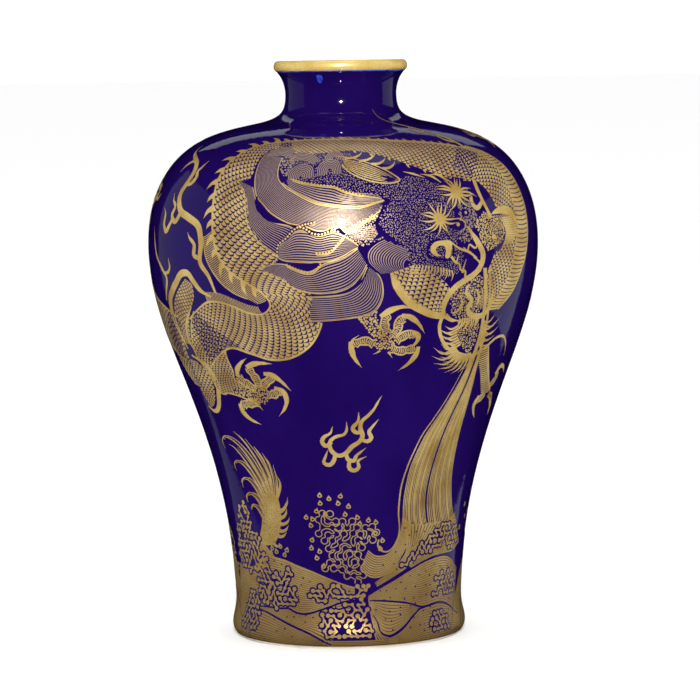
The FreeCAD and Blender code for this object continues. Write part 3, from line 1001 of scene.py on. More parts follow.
flames.stroke([(-65, 231), (-62, 231.5), (-60.5, 235), (-61, 240)], (1.4, 2.2, 0.4))
flames.stroke([(32, 374), (37, 352), (42, 335), (48, 321), (51.5, 308), (53, 301)],
              (0.3, 1.6, 2.4, 2.2, 2.8))
flames.stroke([(42, 334), (38, 331), (36.5, 338), (38.5, 343)], (1.6, 2.2, 1.8, 0.3))
flames.stroke([(50, 316), (46, 318.5), (44, 324), (46, 327)], (1.6, 2.2, 1.4, 0.3))
flames.stroke([(48, 300), (45.5, 293), (44.6, 284), (45, 276), (46.5, 268), (47.8, 262)],
              (2.0, 2.8, 2.8, 2.4, 2.2))
flames.stroke([(45.2, 272), (42.6, 268.3), (41, 271.5), (41, 277), (39.3, 282)],
              (2.4, 3.0, 2.4, 0.4))
gilded("flame_scrolls", [drawn(flames)])

# ---- Dragon's limbs --------------------------------------------------------------------------
# Scaled thighs in heavy gold borders, pebbled forearms, and five-toed claws whose talons are
# laid solid while the knuckles are only lined.


def toe(art, knuckles, talon, thick=4.4, claw=(2.3, 3.4, 2.0, 0.15)):
    """A lined, knuckled toe and its solid talon."""
    line = course(knuckles, 1.15)
    metric = np.column_stack([across(line[:, 1]), np.ones(len(line))])
    way = np.gradient(line, axis=0) * metric
    way /= np.linalg.norm(way, axis=1)[:, None]
    count = len(line)
    knobs = 1 + 0.22 * np.cos(np.linspace(0, 4.5 * math.pi, count))
    side = np.column_stack([-way[:, 1], way[:, 0]]) * (thick / 2 * knobs)[:, None] / metric
    art.stroke((line + side)[::2], (0.8, 1.1, 0.8), 0.9)
    art.stroke((line - side)[::2], (0.8, 1.1, 0.8), 0.9)
    for k in range(count):
        reach = 0.86 if k % 3 else 0.6
        art.stroke([line[k] + side[k] * reach, line[k] + way[k] * 0.5 / metric[k],
                    line[k] - side[k] * reach], (0.5, 0.75, 0.5), 1.0)
    art.stroke(talon, claw, 0.9)


LEG_LEFT = [(-51, 209), (-54, 201), (-56, 192), (-57, 184), (-55.5, 176), (-52.5, 168),
            (-51, 160), (-48.5, 156)]
LEG_RIGHT = [(-31, 184), (-36, 187), (-40.5, 186), (-41, 180), (-40, 172), (-40.2, 166.5),
             (-36.5, 163)]
UPPER_LOBE = [(-61, 184), (-63.5, 196), (-64.5, 206), (-63.5, 215), (-60.5, 221), (-57.5, 226),
              (-54.5, 231), (-51, 232), (-48.5, 227), (-46, 222), (-42, 218.5)]
LOWER_LOBE = [(-60, 180), (-56, 177.5), (-52.5, 174), (-50.3, 167), (-50, 160), (-51.5, 154),
              (-53, 148.5), (-55.5, 144.5), (-58.5, 144), (-61, 147)]
limbs = [
    scales(LEG_LEFT, LEG_RIGHT, True, 0.85),
    scales([(-62.5, 188), (-63, 200), (-62, 210), (-59.5, 217), (-55.5, 224), (-52.5, 228.5)],
           [(-57.5, 187), (-56, 197), (-54, 205), (-51.5, 212), (-49.5, 218), (-49.5, 226)],
           True, 0.8),
    scales([(-65, 178), (-64, 168), (-62.5, 158), (-61, 150), (-59, 146)],
           [(-58, 176), (-54, 170.5), (-52.4, 162.5), (-53.8, 153.5), (-56.5, 147.5)], True, 0.8),
    pebbled([(-48.5, 156), (-45, 157), (-40, 155.5), (-36, 153.2), (-32.5, 151.3), (-29.8, 151),
             (-28, 154), (-27.6, 158), (-30, 161.5), (-34, 162), (-38, 164.5), (-43, 166)],
            1.5, (1.05, 1.5), 21),
    pebbled([(4, 206.5), (5.5, 208), (8, 209.5), (9.3, 211), (9.8, 205), (11, 199.5),
             (13, 196.5), (15.3, 193), (15.6, 188), (14, 185.8), (11, 186.3), (9, 189),
             (8.8, 193), (7, 198)], 1.5, (1.05, 1.5), 22),
]
claws = Drawing(OUTLINE_LIFT)
claws.stroke(UPPER_LOBE, (1.5, 4.0, 5.0, 4.6, 4.2, 3.6, 1.2))
claws.stroke(LOWER_LOBE, (1.2, 3.4, 4.0, 3.4, 1.4))
claws.stroke([(-57, 184), (-58.5, 190), (-57.5, 198), (-54.5, 206), (-52, 211)], (1.0, 2.2, 1.0))
for edge in (LEG_LEFT, LEG_RIGHT):
    claws.stroke(edge, (0.8, 1.1, 0.8))
claws.stroke([(-48.5, 156), (-45, 157), (-40, 155.5), (-36, 153.2), (-32.5, 151.3)],
             (0.8, 1.0, 0.8))
toe(claws, [(-32, 160.5), (-34.8, 163.5), (-37.3, 166.5), (-38.4, 170)],
    [(-38.6, 168.5), (-38, 173), (-35.8, 177.5), (-33, 181)])
toe(claws, [(-30.7, 162), (-31, 167), (-32.3, 171.5), (-33.2, 175)],
    [(-34, 175), (-31.8, 176.8), (-28.5, 178), (-24, 177.8)])
toe(claws, [(-29.3, 161), (-28.2, 164.5), (-26.3, 167), (-24.8, 169.2)],
    [(-27.8, 171.2), (-25, 170.6), (-22, 166.8), (-18.8, 160.4)])
toe(claws, [(-28, 157.5), (-25.6, 157.8), (-23.6, 159.6), (-22.2, 160)],
    [(-24.8, 162.2), (-21.8, 160), (-21, 154), (-22.4, 148.5), (-25, 143.6)])
toe(claws, [(-32, 152), (-35.5, 151.3), (-38.6, 150.6), (-40.2, 148.2)],
    [(-41.2, 150.5), (-40.6, 145.5), (-37.8, 140.8), (-33.2, 137.6)])
claws.stroke([(-40.6, 149), (-40.4, 151.5), (-39.6, 153.5)], (1.6, 0.2))
toe(claws, [(9, 190), (6.6, 192.2), (4.3, 191.6), (2.6, 190)],
    [(1.8, 192), (2.0, 187.5), (3.0, 181.5), (5.3, 175.3)])
claws.stroke([(2, 190.5), (2.5, 193.4), (4.4, 196)], (1.8, 0.2))
toe(claws, [(12.8, 197), (12, 201), (11.9, 205), (13, 207.8)],
    [(10.6, 207), (13.2, 210.4), (17, 212.6), (20, 211.2)], claw=(2.8, 3.8, 2.2, 0.15))
toe(claws, [(14.6, 195), (16.2, 199.5), (15.9, 203), (17.8, 205.6)],
    [(17, 207.3), (19.8, 206), (22.6, 201.6), (25, 195.4)])
toe(claws, [(15.8, 191.5), (17.8, 194.2), (19.8, 196), (21.6, 194.2)],
    [(20.8, 197), (22.8, 194.4), (22.6, 190.4), (20.6, 186.6)])
toe(claws, [(14.6, 186.8), (17.2, 185.2), (19.8, 185.6), (22, 186.4)],
    [(23.4, 187.4), (22.9, 182.5), (20.8, 177), (17.4, 172.6)])
for spur in ([(11, 186), (9.8, 184.4), (8.8, 183.8)], [(13.6, 185), (14.4, 182.8), (15, 181)],
             [(-34, 151.8), (-32, 149), (-31.2, 147)]):
    claws.stroke(spur, (1.4, 0.2))
# the far leg, half hidden by the turn of the shoulder
limbs.append(ribs([(47.5, 182), (49.5, 175), (52.5, 167), (55.5, 158), (58, 151)],
                  [(53, 184), (55, 176), (57.5, 168), (60.5, 160), (64, 153)], 1.6, 0.62))
claws.stroke([(52.5, 186), (54.5, 177), (57.3, 168), (60.5, 160), (64, 153.5)], (1.0, 1.6, 1.2))
toe(claws, [(60, 152), (59, 149.5), (57, 149), (56, 147)],
    [(56.5, 151), (55, 146), (55.8, 141), (58, 136.5)], 3.6)
toe(claws, [(62, 156), (64.5, 159), (66, 162), (65.5, 165)],
    [(64, 164), (66.5, 168.5), (70, 168), (74, 163)], 3.6)
toe(claws, [(64, 151), (67, 149), (69, 145)], [(68, 147), (70, 142), (70.5, 136)], 3.2)
limbs.append(drawn(claws))
gilded("dragon_limbs", limbs)
scaled("limb_scale_edges")

# ---- Dragon's beard, whiskers and chest ------------------------------------------------------
# Pointed tufts under the jaw, a scaled chest in a heavy border, and one long whisker that loops
# down over them, all in solid gold over the pebbled throat.


def tufts(art, roots, tips, count, width, bend=0.18):
    """Pointed tufts from one line to another, each bent the same way."""
    first, last = course(roots, 0.8), course(tips, 0.8)
    at = np.linspace(0, 1, count)
    a = np.column_stack([np.interp(at, np.linspace(0, 1, len(first)), c) for c in first.T])
    b = np.column_stack([np.interp(at, np.linspace(0, 1, len(last)), c) for c in last.T])
    for k, (start, end) in enumerate(zip(a, b)):
        end = start + (end - start) * (1.0 if k % 2 else 0.7)
        wide = float(across((start[1] + end[1]) / 2))
        along = (end - start) * (wide, 1)
        side = np.array([-along[1], along[0]]) * bend / (wide, 1)
        art.stroke([start, (start + end) / 2 + side, end], (width, width * 0.9, 0.1), 1.0)


CHEST_OUT = [(13.5, 233), (14.6, 227), (16.8, 220), (20, 213.5), (24.5, 208.7), (28, 206.3),
             (31, 205.5)]
CHEST_IN = [(20, 237), (25, 232), (29.5, 227), (32, 221.5), (31.6, 216), (31, 211), (31.4, 207)]
throat = [scales(CHEST_OUT, CHEST_IN, False, 0.92),
          pebbled([(33, 222), (37, 225), (40, 229), (44, 227), (45, 218), (45, 208), (43, 203),
                   (38, 202), (34, 206), (32.5, 213)], 1.45, (0.8, 1.25), 31),
          pebbled([(36, 203), (43.5, 203), (45.5, 196), (45, 187), (43.5, 181), (40.5, 184),
                   (37.5, 190), (37, 197)], 1.4, (0.85, 1.25), 32)]
beard = Drawing(FILM_LIFT + 0.07)
beard.stroke(CHEST_OUT, (2.0, 4.6, 4.6, 4.2, 4.2, 3.2))
beard.stroke([(31.2, 206), (33.5, 203), (36.5, 202.2)], (3.2, 2.2, 0.5))
beard.stroke([(38.5, 224), (37.8, 219), (40.3, 214.5), (39.2, 209.5), (41, 205), (45, 204),
              (48, 207.5), (48.8, 213.5), (49, 220)], (1.4, 2.6, 3.2, 3.6, 3.6, 2.8, 1.2))
beard.stroke([(41.5, 221), (43, 216), (42.6, 211)], (0.6, 2.0, 1.0))
beard.stroke([(35.5, 218), (36.8, 213), (35.6, 208.5), (33.6, 207)], (0.6, 1.5, 0.8))
beard.stroke([(30.3, 206), (29.7, 200), (30.5, 194), (32.6, 188), (36, 183), (40, 180),
              (44, 178.8), (48, 180.3), (52, 184.2), (56, 188.6), (60, 189.2), (63, 186.2),
              (65.2, 181), (66.2, 175.5)], (2.4, 2.2, 2.0, 1.9, 1.9, 1.9, 1.7, 1.5, 0.4))
tufts(beard, [(36.8, 199), (37, 193), (39, 187)],
      [(29.4, 199.5), (30.6, 192.6), (31.6, 187.6)], 8, 1.4, 0.2)
tufts(beard, [(37, 186.5), (39, 182.5), (42.5, 180.5), (44, 181)],
      [(29, 189), (28.4, 181.4), (31, 173.6), (36.3, 168.4), (41.6, 168.8), (44.6, 172.4)],
      17, 1.35, 0.26)
tufts(beard, [(46, 201), (47, 195), (47.5, 187)],
      [(55, 206), (56, 198), (54.4, 190), (51.5, 183)], 9, 1.4, -0.26)
tufts(beard, [(37, 203), (40, 203.5), (44, 203)], [(35, 196), (39, 195), (44, 196.5)], 9, 1.3)
tufts(beard, [(20, 237), (26, 236), (32, 233)], [(17, 231), (25, 228.5), (32, 226.5)], 14, 0.9)
throat.append(drawn(beard))
gilded("dragon_throat", throat)
scaled("chest_scale_edges")

# ---- Antlers and crest -----------------------------------------------------------------------
# The antlers and the upper edge of the mane break into flame-shaped points, drawn in gold, round
# an ear combed out in fine lines with a hollow of bare cobalt.

horns = Drawing(OUTLINE_LIFT)
for flame in ([(1, 303.6), (4.2, 304.4), (6.6, 307.4), (7, 310)],
              [(5.6, 301.4), (8.6, 302.4), (11, 305.6), (11.6, 308)],
              [(9.6, 299), (12.2, 299.4), (14.2, 302), (14.8, 304.4)],
              [(13, 295.6), (15.2, 296), (17, 298.4), (17.6, 300.6)]):
    horns.stroke(flame, (1.8, 1.5, 0.15))
horns.stroke([(-2, 306), (3, 304), (8, 300.4), (12.6, 296), (16, 291.4), (17.8, 287.4),
              (14.6, 285.6), (10, 286.6), (5.6, 289.6), (2, 294), (0, 299)], (0.5, 0.9, 0.8))
horns.stroke([(19.5, 293), (22.5, 291.4), (26.2, 288.6)], (0.3, 1.4, 0.4))
horns.stroke([(25, 291), (28.5, 289.5), (31.5, 285)], (0.3, 1.6, 0.6))
horns.stroke([(28.5, 290.5), (31.5, 290), (34, 285.5)], (0.3, 1.8, 0.8))
ear = strands([(0, 303.4), (6, 300.8), (11, 296.2), (15, 291), (17, 287.4)],
              [(1.4, 296), (5.6, 290.6), (10, 287.6), (14, 286.4), (16.6, 286.8)], 1.05, 0.5,
              (0.9, 0.6), PARTING_LIFT)
gilded("dragon_antlers", [drawn(horns), ear])
ear_hollow = Drawing(FILM_LIFT + 0.11)
ear_hollow.fill([(11.6, 290.6), (14.4, 290), (16.6, 287.8), (14.6, 286.6), (12.4, 287.6),
                 (14, 288.6)])
touched("ear_hollow", [drawn(ear_hollow)])

# ---- Dragon's fins ---------------------------------------------------------------------------
# A spiny fin along the back. Each spine is a pointed leaf of solid gold that leans down the body,
# and finely ruled webs fill the bends between them.


def fin(art, line, count, reach, lean, sign, width=4.2):
    """Spines along a line, reaching out to one side and leaning along it."""
    path = course(line, 1.0)
    at = np.linspace(0.03, 0.97, count) * (len(path) - 1)
    for k, spot in enumerate(at):
        i = int(spot)
        wide = float(across(path[i][1]))
        way = (path[min(i + 2, len(path) - 1)] - path[max(i - 2, 0)]) * (wide, 1)
        way /= np.linalg.norm(way)
        out = np.array([-way[1], way[0]]) * sign
        far = reach * (1.0 if k % 2 else 0.72)
        root = path[i] * (wide, 1)
        tip = root + out * far + way * far * lean
        middle = root + out * far * 0.55 + way * far * lean * 0.25
        art.stroke([root / (wide, 1), middle / (wide, 1), tip / (wide, 1)],
                   (width, width * 0.55, 0.1), 0.9)


fins = Drawing(FILM_LIFT + 0.02)
fin(fins, LEFT_BACK, 17, 7.0, 0.75, -1)
fin(fins, TURN_INNER[2:], 7, 5.5, -0.4, 1, 3.6)
fin(fins, ARCH_TOP[:7], 19, 3.6, -0.6, 1, 2.6)
fin(fins, [(4, 310.5), (12, 306.5), (20, 300), (28, 293)], 5, 2.4, 0.8, -1, 2.0)
web = [ribs([(-40.2, 258), (-38.6, 246), (-34.8, 236.6), (-29.6, 230), (-24.6, 224),
             (-22.8, 217)],
            [(-43.6, 254), (-42.4, 241), (-38.4, 229), (-33.6, 221.6), (-29, 218), (-25.6, 215)],
            1.15, 0.45),
       ribs([(-24.6, 209.6), (-29, 210), (-34, 213.4), (-39, 215.8), (-44, 215.4)],
            [(-25.6, 213.4), (-29, 214.6), (-33.6, 217.8), (-38.6, 221), (-44.4, 221.4)],
            1.15, 0.45)]
fins.stroke([(-43.6, 254), (-42.4, 241), (-38.4, 229), (-33.6, 221.6), (-29, 218)],
            (0.5, 0.8, 0.5))
gilded("dragon_fins", [drawn(fins), *web])

# ---- Flaming pearl ---------------------------------------------------------------------------
# The cloud of fire that the dragon reaches for, alone on the bare glaze. It is one looping stroke
# of gold, with its tongues struck off from it.

pearl = Drawing()
pearl.stroke([(12.5, 156.5), (11, 151.5), (10, 148), (8, 144), (5.8, 140.5), (5.3, 136),
              (6.2, 131), (5, 127.3), (2.2, 124.3), (0.4, 121), (-1.8, 118.8), (-4, 119),
              (-6, 122), (-6.5, 126), (-5.6, 129), (-3.6, 131), (-1, 132), (0.2, 135),
              (0.2, 140.5)], (0.3, 1.4, 2.0, 2.2, 2.8, 2.6, 2.8, 2.6, 2.6, 2.3, 2.0, 1.7, 0.3))
for tongue in (
        [(-5.6, 127.2), (-8, 124.8), (-9.4, 127.6), (-8.4, 130.8), (-6, 133), (-5, 137.4)],
        [(5.6, 133), (3.4, 133.6), (2.5, 136.6), (4.4, 140.5), (4.6, 146.4)],
        [(5.8, 128.6), (8.2, 127.4), (9.6, 129.8), (8.6, 133.6), (10, 137.2), (12, 141.4)],
        [(-4.4, 119.8), (-5.2, 115.2), (-7, 112.6), (-9.2, 114), (-8.4, 118), (-7.2, 122.4)],
        [(-0.2, 120.4), (0.6, 116), (3, 115.2), (4, 118.4), (7.6, 123.2)],
        [(1.2, 116), (1.0, 110.8), (3, 108.8), (5, 111), (4.6, 115), (8, 117.8)]):
    pearl.stroke(tongue, (2.0, 2.6, 2.4, 1.5, 0.3))
gilded("flaming_pearl", [drawn(pearl)])

# ---- Tail fan --------------------------------------------------------------------------------
# The tail comes up out of the waves as a solid quill of gold with long, curling plumes. A fine
# line of cobalt runs down each plume, and pits of cobalt cover the quill.

quill = Drawing(OUTLINE_LIFT)
quill.fill([(-47, 62), (-42, 60), (-37, 62), (-34, 68), (-32, 76), (-31.5, 84), (-32, 92),
            (-32.5, 99), (-35, 103), (-38, 100), (-41, 96), (-42, 88), (-42.5, 80), (-44, 72)])
PLUMES = (
        [(-37, 94), (-40, 105), (-44.5, 117), (-50, 125), (-55.5, 127.6), (-58.8, 124.5),
         (-58.6, 119.5)],
        [(-38.5, 92), (-42, 103), (-46.5, 113.5), (-51, 120.5), (-54.5, 122.5)],
        [(-35.5, 95), (-37, 106), (-40.5, 117.5), (-45, 127), (-49, 131.5)],
        [(-34, 94), (-34, 104), (-36, 114), (-39.5, 123)],
        [(-33.5, 92), (-32.8, 102), (-33.4, 111), (-36, 119)],
        [(-40, 93), (-44, 103.5), (-48.5, 110.5), (-52, 112), (-54.6, 109.8), (-54.2, 105.6)],
        [(-41, 89), (-44.5, 97.5), (-48.2, 101.4), (-51.8, 99.6), (-52, 95)],
        [(-41.5, 84), (-44.6, 90), (-48.2, 92), (-51, 89.6), (-50.8, 86)],
        [(-42, 78), (-45, 83.4), (-47.8, 84.6), (-49.4, 81)])
for plume in PLUMES:
    quill.stroke(plume, (3.2, 2.3, 1.9, 1.5, 0.3))
    quill.stroke([(x + 1.7, y + 0.6) for x, y in plume[:-1]], (1.2, 0.9, 0.2))
for spike in ([(-33, 90), (-30.4, 96), (-29.8, 101), (-31, 105.5)],
              [(-32, 82), (-29.6, 84), (-27.6, 88), (-27, 91.5)],
              [(-32.4, 78), (-30, 79.2), (-28.6, 82), (-28.4, 84.6)],
              [(-33, 74), (-30, 74.6), (-28, 76.6), (-27.3, 79)],
              [(-34, 70), (-31.4, 69.8), (-29.4, 71.4), (-28.2, 73.8)],
              [(-35, 67), (-33, 66.2), (-31.2, 67.2), (-29.6, 69.4)],
              [(-38, 62), (-36, 60), (-33.4, 60.6)]):
    quill.stroke(spike, (2.6, 1.7, 0.2))
gilded("tail_fan", [drawn(quill)])
barbs = Drawing(PARTING_LIFT)
for plume in PLUMES:
    barbs.stroke([(x + 0.5, y + 0.1) for x, y in plume[:-1]], (0.2, 0.5, 0.6, 0.5, 0.2))
touched("tail_barbs", [drawn(barbs), pebbled(
    [(-44, 64), (-38, 62), (-34, 70), (-32.4, 84), (-33.4, 98), (-36, 101), (-40.6, 94),
     (-41.6, 84)], 1.7, (0.4, 0.75), 62, long_dot, PARTING_LIFT)])

# ---- Water spout -----------------------------------------------------------------------------
# A column of water that pours from the dragon's jaw and widens into the waves, drawn in fine
# flowing lines of gold with a few heavier ones over them.

SPOUT_LEFT = [(43.6, 233), (44.6, 222), (45.6, 208), (46.2, 195), (45.8, 184), (44.5, 172),
              (42, 160), (39, 149), (35.5, 139), (32, 130), (29.2, 119), (27, 109), (26, 99),
              (25.5, 90), (25.6, 80), (26.5, 72)]
SPOUT_CORE = [(45.2, 233), (46.2, 222), (47, 208), (47.6, 195), (47.6, 184), (47, 172),
              (46, 160), (44.4, 150), (42.4, 140), (40.6, 130), (39.2, 120), (38, 110),
              (37.2, 100), (37, 90), (38, 80), (40.2, 71)]
SPOUT_CORE_EDGE = [(x + 0.8, y) for x, y in SPOUT_CORE]
SPOUT_RIGHT = [(46.6, 233), (47.6, 222), (48.6, 208), (49.4, 195), (49.6, 184), (49.8, 172),
               (50.4, 160), (50.6, 150), (50.6, 140), (50.4, 130), (50.6, 120), (51, 110),
               (52, 100), (54, 90), (57, 80), (61, 71)]
spout = [strands(SPOUT_LEFT, SPOUT_CORE, 0.62, 0.74, (0.9, 0.8)),
         strands(SPOUT_CORE_EDGE, SPOUT_RIGHT, 0.62, 0.76, (0.9, 0.8))]
rills = Drawing(FILM_LIFT + 0.04)
rills.stroke([(x - 1.3 - 0.6 * (k > 6), y) for k, (x, y) in enumerate(SPOUT_LEFT[5:])]
             + [(24.3, 66), (22.4, 60.5), (19.6, 57.4), (16.6, 57.6), (14.2, 61), (14.6, 65)],
             (0.4, 0.8, 0.9, 0.9, 1.0))
for share in (0.25, 0.5, 0.75):
    rills.stroke([(a + (b - a) * share, y)
                  for (a, y), (b, _) in zip(SPOUT_LEFT, SPOUT_CORE)], (0.8, 1.1, 1.2))
    rills.stroke([(a + (b - a) * share, y)
                  for (a, y), (b, _) in zip(SPOUT_CORE_EDGE, SPOUT_RIGHT)], (0.8, 1.1, 1.3))
spout.append(drawn(rills))
gilded("water_spout", spout)

# ---- Sea -------------------------------------------------------------------------------------
# A band of breaking waves round the foot: swells hatched in gold along their run, a line of cobalt
# between one swell and the next, and knots of foam on their crests.

FOAM_PITCH = 3.6


def branched(outline, pitch, seed, loose, gone=0.0):
    """Joints packed inside an outline, in mm on a flat chart, and the random links that join
    them into branching growths without a loop."""
    chance = np.random.default_rng(seed)
    spots, _ = peppered(outline, pitch, (1, 1), seed, 0.12)
    spots = spots[chance.random(len(spots)) > gone]
    wide = float(across(np.mean([y for _, y in outline])))
    joints = spots * (wide, 1)
    gaps = np.linalg.norm(joints[:, None] - joints[None], axis=2)
    pairs = [(i, j) for i in range(len(joints)) for j in range(i) if gaps[i, j] < 1.3 * pitch]
    chance.shuffle(pairs)
    group = list(range(len(joints)))
    meets = [[] for _ in joints]
    for i, j in pairs:
        free = len(meets[i]) < 3 and len(meets[j]) < 3
        if free and group[i] != group[j] and chance.random() > loose:
            old, new = group[j], group[i]
            group = [new if g == old else g for g in group]
            meets[i].append(j)
            meets[j].append(i)
    return joints, meets, wide


def foamed(outline, seed, grow, lift):
    """Foam as knots of round lobes on short stems, or the gap round them when grown."""
    joints, meets, wide = branched(outline, FOAM_PITCH, seed, 0.2, 0.08)
    lobes, stems = Drawing(lift), Drawing(lift - 0.03)
    around = np.arange(10) * math.pi / 5
    for i, joint in enumerate(joints):
        reach = (1.38 if len(meets[i]) < 2 else 1.05) + grow
        ring = joint + reach * np.column_stack([np.cos(around), np.sin(around)])
        lobes.fill(ring / (wide, 1), smooth=False)
        for j in meets[i]:
            if j < i:
                stems.stroke([joint / (wide, 1), joints[j] / (wide, 1)],
                             (0.95 + 2 * grow, 0.95 + 2 * grow))
    return [drawn(lobes), drawn(stems)]


FOAM = [
    [(-42, 40), (-37, 45), (-32, 47), (-27, 44.5), (-24.3, 40), (-25, 36), (-28, 33.5),
     (-26, 29), (-28, 24.5), (-33, 22.5), (-40, 22), (-45, 26), (-43, 32)],
    [(-21, 31), (-16, 36), (-11, 37.2), (-5, 37.5), (0, 36.5), (4, 39), (9, 38), (11, 33),
     (8, 30.6), (3, 29), (-4, 28.6), (-10, 27.8), (-16, 28)],
    [(-13.5, 20), (-8, 23), (-3, 26), (2, 28), (7, 29.5), (9.7, 26), (9.5, 20), (12.4, 14),
     (11, 7.5), (6, 4.2), (0, 3.6), (-6, 4.6), (-12, 7), (-15, 13)],
    [(25, 46), (29, 51), (33, 56), (37, 61), (42, 65), (46, 71), (52, 73), (60, 71), (67, 64),
     (64, 56), (56, 54.5), (47, 55.5), (41, 53.5), (34, 49.5), (28, 45.5)],
    [(46, 36), (50, 41), (55, 43), (62, 39), (67, 31), (63, 24.6), (55, 27), (49, 25.6),
     (45.5, 28), (49.5, 31.5)],
    [(42, 9), (46, 14.5), (51, 17.5), (57, 14.5), (61, 9), (57, 4.3), (48, 3.6), (42, 5.2)],
    [(-66, 10), (-61, 27), (-55, 31), (-50.5, 27), (-49.5, 18), (-51, 9), (-58, 5)],
    [(-68, 48), (-65, 72), (-60, 82), (-55, 86), (-50.5, 75), (-47, 66), (-44, 57),
     (-42.5, 48.5), (-50, 43.5), (-60, 42)],
    [(-50, 46), (-46, 52), (-42, 50), (-40, 44), (-41.5, 36), (-43, 28), (-46, 22), (-49.5, 24),
     (-51, 32), (-52, 40)],
]
# the crest lines of the swells, left of the spray and then right of it
CREST_LEFT = [(-47, 54), (-41, 53.6), (-36, 52.6), (-31, 51.3), (-26, 49), (-18, 45.6),
              (-10, 41.6), (-2, 37.8), (3, 36)]
SWAY_LEFT = [(-48, 22), (-36, 22), (-31.5, 22.5), (-28.5, 20.8), (-24, 19.6), (-18.5, 20.6),
             (-9.7, 24.4), (-3, 27.4), (3, 28.4)]
RUN_LEFT = [(-53, 20.5), (-44, 18.3), (-39, 16.4), (-31.5, 13.2), (-26, 10.9), (-20.5, 8.6),
            (-16, 6), (-12.5, 3.6), (-9, 1.6)]
CREST_RIGHT = [(9.5, 31.5), (15.5, 35.4), (20.5, 38.4), (26.5, 42), (33.5, 46), (40, 49),
               (47.5, 50.6), (55, 50.6), (62, 47.6), (69, 41)]
SWAY_RIGHT = [(10.5, 27.8), (17, 27.3), (25.5, 25.9), (32, 24.1), (38.5, 21.4), (43, 21.4),
              (48, 22.2), (54, 21.9), (61, 18.9), (69, 12)]
HOLLOW = [(12, 19), (14.2, 14), (14.8, 10), (16.5, 7.2), (20, 6), (24, 8), (28.5, 11.5),
          (33, 16.2), (38, 20.4)]


def lowered(line, drop):
    """The same line a little further down the wall."""
    return [(x, y - drop) for x, y in line]


def level(first, last, run=0.9, count=9):
    """A level line round the foot."""
    return [(first + (last - first) * k / (count - 1), run) for k in range(count)]


SWELLS = [
    (CREST_LEFT, lowered(SWAY_LEFT, -0.5)),
    (lowered(SWAY_LEFT, 0.6), lowered(RUN_LEFT, -0.4)),
    (lowered(RUN_LEFT[:8], 0.7), level(-58, -12)),
    (level(-13, 24, 4.2), level(-13, 24)),
    ([(9.4, 30), (10, 24), (10.8, 18), (11.6, 12), (12, 7), (12.6, 3.4)],
     [(12.6, 27.4), (12.4, 20), (14.4, 14), (15, 10), (17, 6.6), (20.4, 4.6)]),
    (lowered(CREST_RIGHT, 0.5), lowered(SWAY_RIGHT, -0.5)),
    (lowered(SWAY_RIGHT[:5], 0.5), lowered(HOLLOW, -0.5)),
    ([(19, 4.6), (24, 6.8), (28.5, 10.4), (33, 15.2), (38.5, 20), (43, 20.6), (48, 21.4),
      (54, 21), (61, 18), (70, 11)], level(20, 74, count=10)),
    ([(25.8, 78), (25.4, 71), (23.8, 63), (21, 57.6), (17.4, 55.2), (13, 55.6), (9.6, 59)],
     [(31, 73), (30.5, 64), (27, 54.5), (22, 46), (15.6, 41.6), (10, 42), (5.6, 47)]),
    ([(26.5, 73), (28.5, 64), (28.5, 56), (25, 50), (19, 43.6), (13, 38.8)],
     [(62, 72), (55, 66), (47, 60), (38, 52.4), (27, 44.4), (14, 36)]),
    ([(60, 76), (52, 70), (44, 62), (38, 55), (30, 48)],
     [(70, 56), (62, 52), (54, 51.8), (44, 51), (32, 46)]),
    ([(-70, 46), (-62, 45), (-55, 45), (-48, 48), (-43, 53)],
     [(-70, 21), (-62, 22), (-55, 22), (-49, 22), (-45, 23)]),
    ([(-56, 66), (-50, 65), (-44, 61), (-39, 55)],
     [(-52, 47), (-46, 49), (-42, 52), (-38, 53.6)]),
    ([(-88, 30), (-80, 26), (-72, 23), (-64, 21), (-56, 19.6)],
     level(-92, -58)),
]


def back_swell(k):
    """One swell of the row round the back, with its trough and its foam."""
    chance = np.random.default_rng(300 + k)
    left = 68 + 27 * k
    top = 44 + 10 * math.sin(k * 2.1) + chance.uniform(-3, 3)
    crest = [(left - 6, 8), (left + 2, 0.55 * top), (left + 10, 0.9 * top), (left + 18, top),
             (left + 27, 0.86 * top), (left + 35, 0.55 * top), (left + 40, 0.34 * top)]
    trough = [(left + 2, 3), (left + 8, 0.32 * top), (left + 14, 0.5 * top),
              (left + 20, 0.55 * top), (left + 27, 0.45 * top), (left + 33, 0.28 * top),
              (left + 38, 0.22 * top)]
    foot = [(left - 1, 1), (left + 6, 1), (left + 13, 1), (left + 20, 1), (left + 26, 1),
            (left + 33, 1)]
    below = [(left + 4, 5), (left + 9, 0.26 * top), (left + 15, 0.42 * top),
             (left + 20, 0.45 * top), (left + 26, 0.34 * top), (left + 32, 0.16 * top)]
    froth = [(left + 12, top * 0.98), (left + 17, top + 9), (left + 22, top + 15),
             (left + 27, top + 12), (left + 31, top + 2), (left + 33, 0.72 * top),
             (left + 27, 0.92 * top), (left + 20, top * 1.03)]
    return crest, trough, below, foot, froth


hatching = [strands(top, bottom, 1.1, 0.82, (0.9, 0.8)) for top, bottom in SWELLS]
partings = Drawing(OUTLINE_LIFT)
crests = Drawing(PARTING_LIFT)
back_foam = []
for k in range(8):
    crest, trough, below, foot, froth = back_swell(k)
    hatching += [strands(crest, trough, 1.3, 0.8, (0.9, 0.8)),
                 strands(trough, foot, 1.3, 0.8, (0.9, 0.8))]
    partings.stroke(lowered(trough, 0.4), (0.4, 1.1, 0.4))
    crests.stroke(crest, (0.6, 1.1, 0.6))
    back_foam.append(froth)
gilded("sea_swells", hatching)
for line in (SWAY_LEFT, RUN_LEFT, SWAY_RIGHT, HOLLOW):
    partings.stroke(line, (0.6, 1.25, 0.9))
partings.stroke([(9.5, 31.2), *CREST_RIGHT[1:]], (1.2, 1.3, 0.8))
partings.stroke([(38, 20.4), (41, 20.6)], (1.0, 1.0))
flecks = [drawn(partings)]
